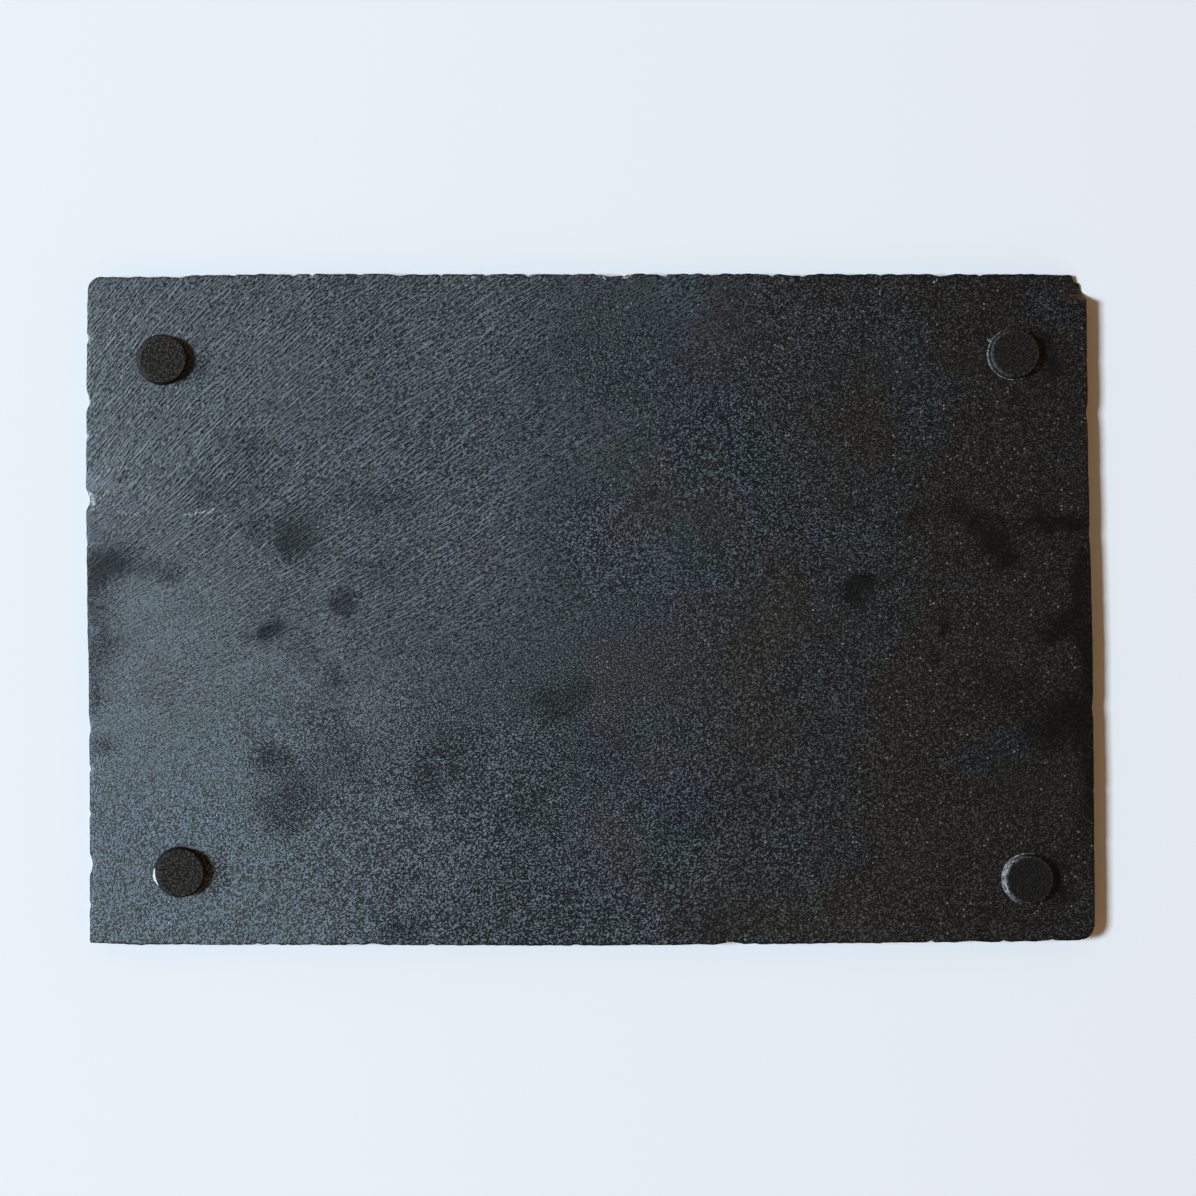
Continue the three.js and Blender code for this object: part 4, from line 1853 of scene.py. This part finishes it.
@dataclass
class Tabletop:
    """The plain pale table that the board lies on."""

    size_m: float = 14.0
    gap: float = 0.05
    colour: Colour = (0.860, 0.832, 0.836)
    roughness: float = 0.9
    specular_level: float = 0.1

    def build(self) -> None:
        """Makes the table, just under the board."""
        bpy.ops.object.select_all(action="DESELECT")
        bpy.ops.mesh.primitive_plane_add(size=self.size_m, location=(0, 0, -self.gap * MM))
        piece = start_piece("table")
        made = bpy.data.materials.new("pale table")
        made.use_nodes = True
        shader = made.node_tree.nodes["Principled BSDF"]
        shader.inputs["Base Color"].default_value = (*self.colour, 1.0)
        shader.inputs["Roughness"].default_value = self.roughness
        shader.inputs["Specular IOR Level"].default_value = self.specular_level
        piece.data.materials.append(made)


@dataclass
class WindowLight:
    """Daylight that falls in from the left."""

    distance_m: float = 8.0
    elevation: float = 44.0
    width_m: float = 1.94
    colour: Colour = (0.655, 0.845, 0.985)
    power: float = 945.0

    def build(self) -> None:
        """Makes the window as a square lamp that faces the board."""
        lamp = bpy.data.lights.new("window", "AREA")
        lamp.size = self.width_m
        lamp.color = self.colour
        lamp.energy = self.power
        piece = bpy.data.objects.new("window", lamp)
        bpy.context.collection.objects.link(piece)
        rise = math.radians(self.elevation)
        place = Vector((-math.cos(rise), 0.0, math.sin(rise))) * self.distance_m
        piece.location = place
        piece.rotation_euler = (-place).to_track_quat("-Z", "Y").to_euler()
        piece.visible_camera = False


@dataclass
class RoomFill:
    """The room's dim warm light, which comes from the walls and not from overhead."""

    wall: Colour = (0.43, 0.264, 0.13)
    overhead: Colour = (0.02, 0.017, 0.015)
    backdrop: Colour = (0.80, 0.85, 0.92)
    dark_from: float = 0.62
    dark_to: float = 0.92

    def build(self) -> None:
        """Makes the world, pale where the camera sees it."""
        world = bpy.data.worlds.new("room")
        world.use_nodes = True
        bpy.context.scene.world = world
        wiring = Wiring(world.node_tree)
        direction = wiring.add("TexCoord", {}).outputs["Generated"]
        height = wiring.add("SeparateXYZ", {0: direction}).outputs[2]
        colour = wiring.tint(wiring.ramp(height, self.dark_from, self.dark_to), self.wall, self.overhead)
        seen = wiring.add("LightPath", {}).outputs["Is Camera Ray"]
        colour = wiring.tint(seen, colour, self.backdrop)
        background = world.node_tree.nodes["Background"]
        wiring.feed(background.inputs["Color"], colour)


@dataclass
class OverheadCamera:
    """The camera, straight above the board."""

    x: float = 2.28
    y: float = 3.52
    height: float = 805.0
    sensor: float = 36.0
    seen_length: float = 355.5
    board_thickness: float = 5.0
    farthest_m: float = 100.0

    def build(self) -> None:
        """Makes the camera and hands it to the scene."""
        lens = bpy.data.cameras.new("overhead")
        lens.sensor_width = self.sensor
        lens.lens = self.sensor * (self.height - self.board_thickness) / self.seen_length
        lens.clip_end = self.farthest_m
        piece = bpy.data.objects.new("overhead", lens)
        piece.location = Vector((self.x, self.y, self.height)) * MM
        bpy.context.collection.objects.link(piece)
        bpy.context.scene.camera = piece


FEET = [
    FoamFoot(
        "back_left", -127.3, 74.3, lean=0.7, dust_and_sheen=1.0, painted_lit_side=0.13, low_painted_lit_side=0.6, painted_light_turn=190,
        film_x=-0.1, film_y=0.0,
    ),
    FoamFoot(
        "back_right", 125.75, 76.0, lean=0.3, dust_and_sheen=0.4, painted_lit_side=0.3, low_painted_lit_side=0.1, painted_light_turn=195,
        film_x=-0.3, film_y=-0.1,
    ),
    FoamFoot(
        "front_left", -121.9, -77.9, lean=0.6, dust_and_sheen=1.0, painted_lit_side=0.08, low_painted_lit_side=0.6, painted_light_turn=190,
        film_x=-0.2, film_y=0.0,
    ),
    FoamFoot(
        "front_right", 130.0, -80.0, lean=0.25, dust_and_sheen=0.15, painted_lit_side=0.8, low_painted_lit_side=0.9, painted_light_turn=172,
        film_x=-0.3, film_y=0.1,
    ),
]
TORN_FILM = "front_left"
TONGUE_REACH = 0.55
CRUMBED_FILM = "back_right"


def main() -> None:
    """Builds the camera, the board, its feet and its surroundings in order."""
    logging.basicConfig(level=logging.INFO, format="%(name)s: %(message)s")
    bpy.context.scene.view_settings.view_transform = "Standard"
    OverheadCamera().build()
    crystals = crystal_group()
    grain = grain_group()
    slate = SlateFinish(crystals, grain, ply_group()).material()
    foam = FoamFinish(crystals, grain).material()
    films = {
        "back_left": FilmFinish("darkened film", (0.02, 0.02, 0.02)).material(),
        "back_right": FilmFinish("greyed film", (0.30, 0.30, 0.29)).material(),
        "front_left": FilmFinish("torn film", (0.03, 0.03, 0.032)).material(),
    }
    films["front_right"] = films["back_right"]
    bpy.ops.object.select_all(action="DESELECT")
    SlateBoard().build(FEET, slate)
    for foot in FEET:
        foot.build(foam)
        reach = TONGUE_REACH if foot.place == TORN_FILM else 0.0
        crumb = GlueCrumb() if foot.place == CRUMBED_FILM else None
        AdhesiveFilm(foot, tongue_reach=reach, crumb=crumb).build(films[foot.place])
    Tabletop().build()
    WindowLight().build()
    RoomFill().build()


if __name__ == "__main__":
    main()
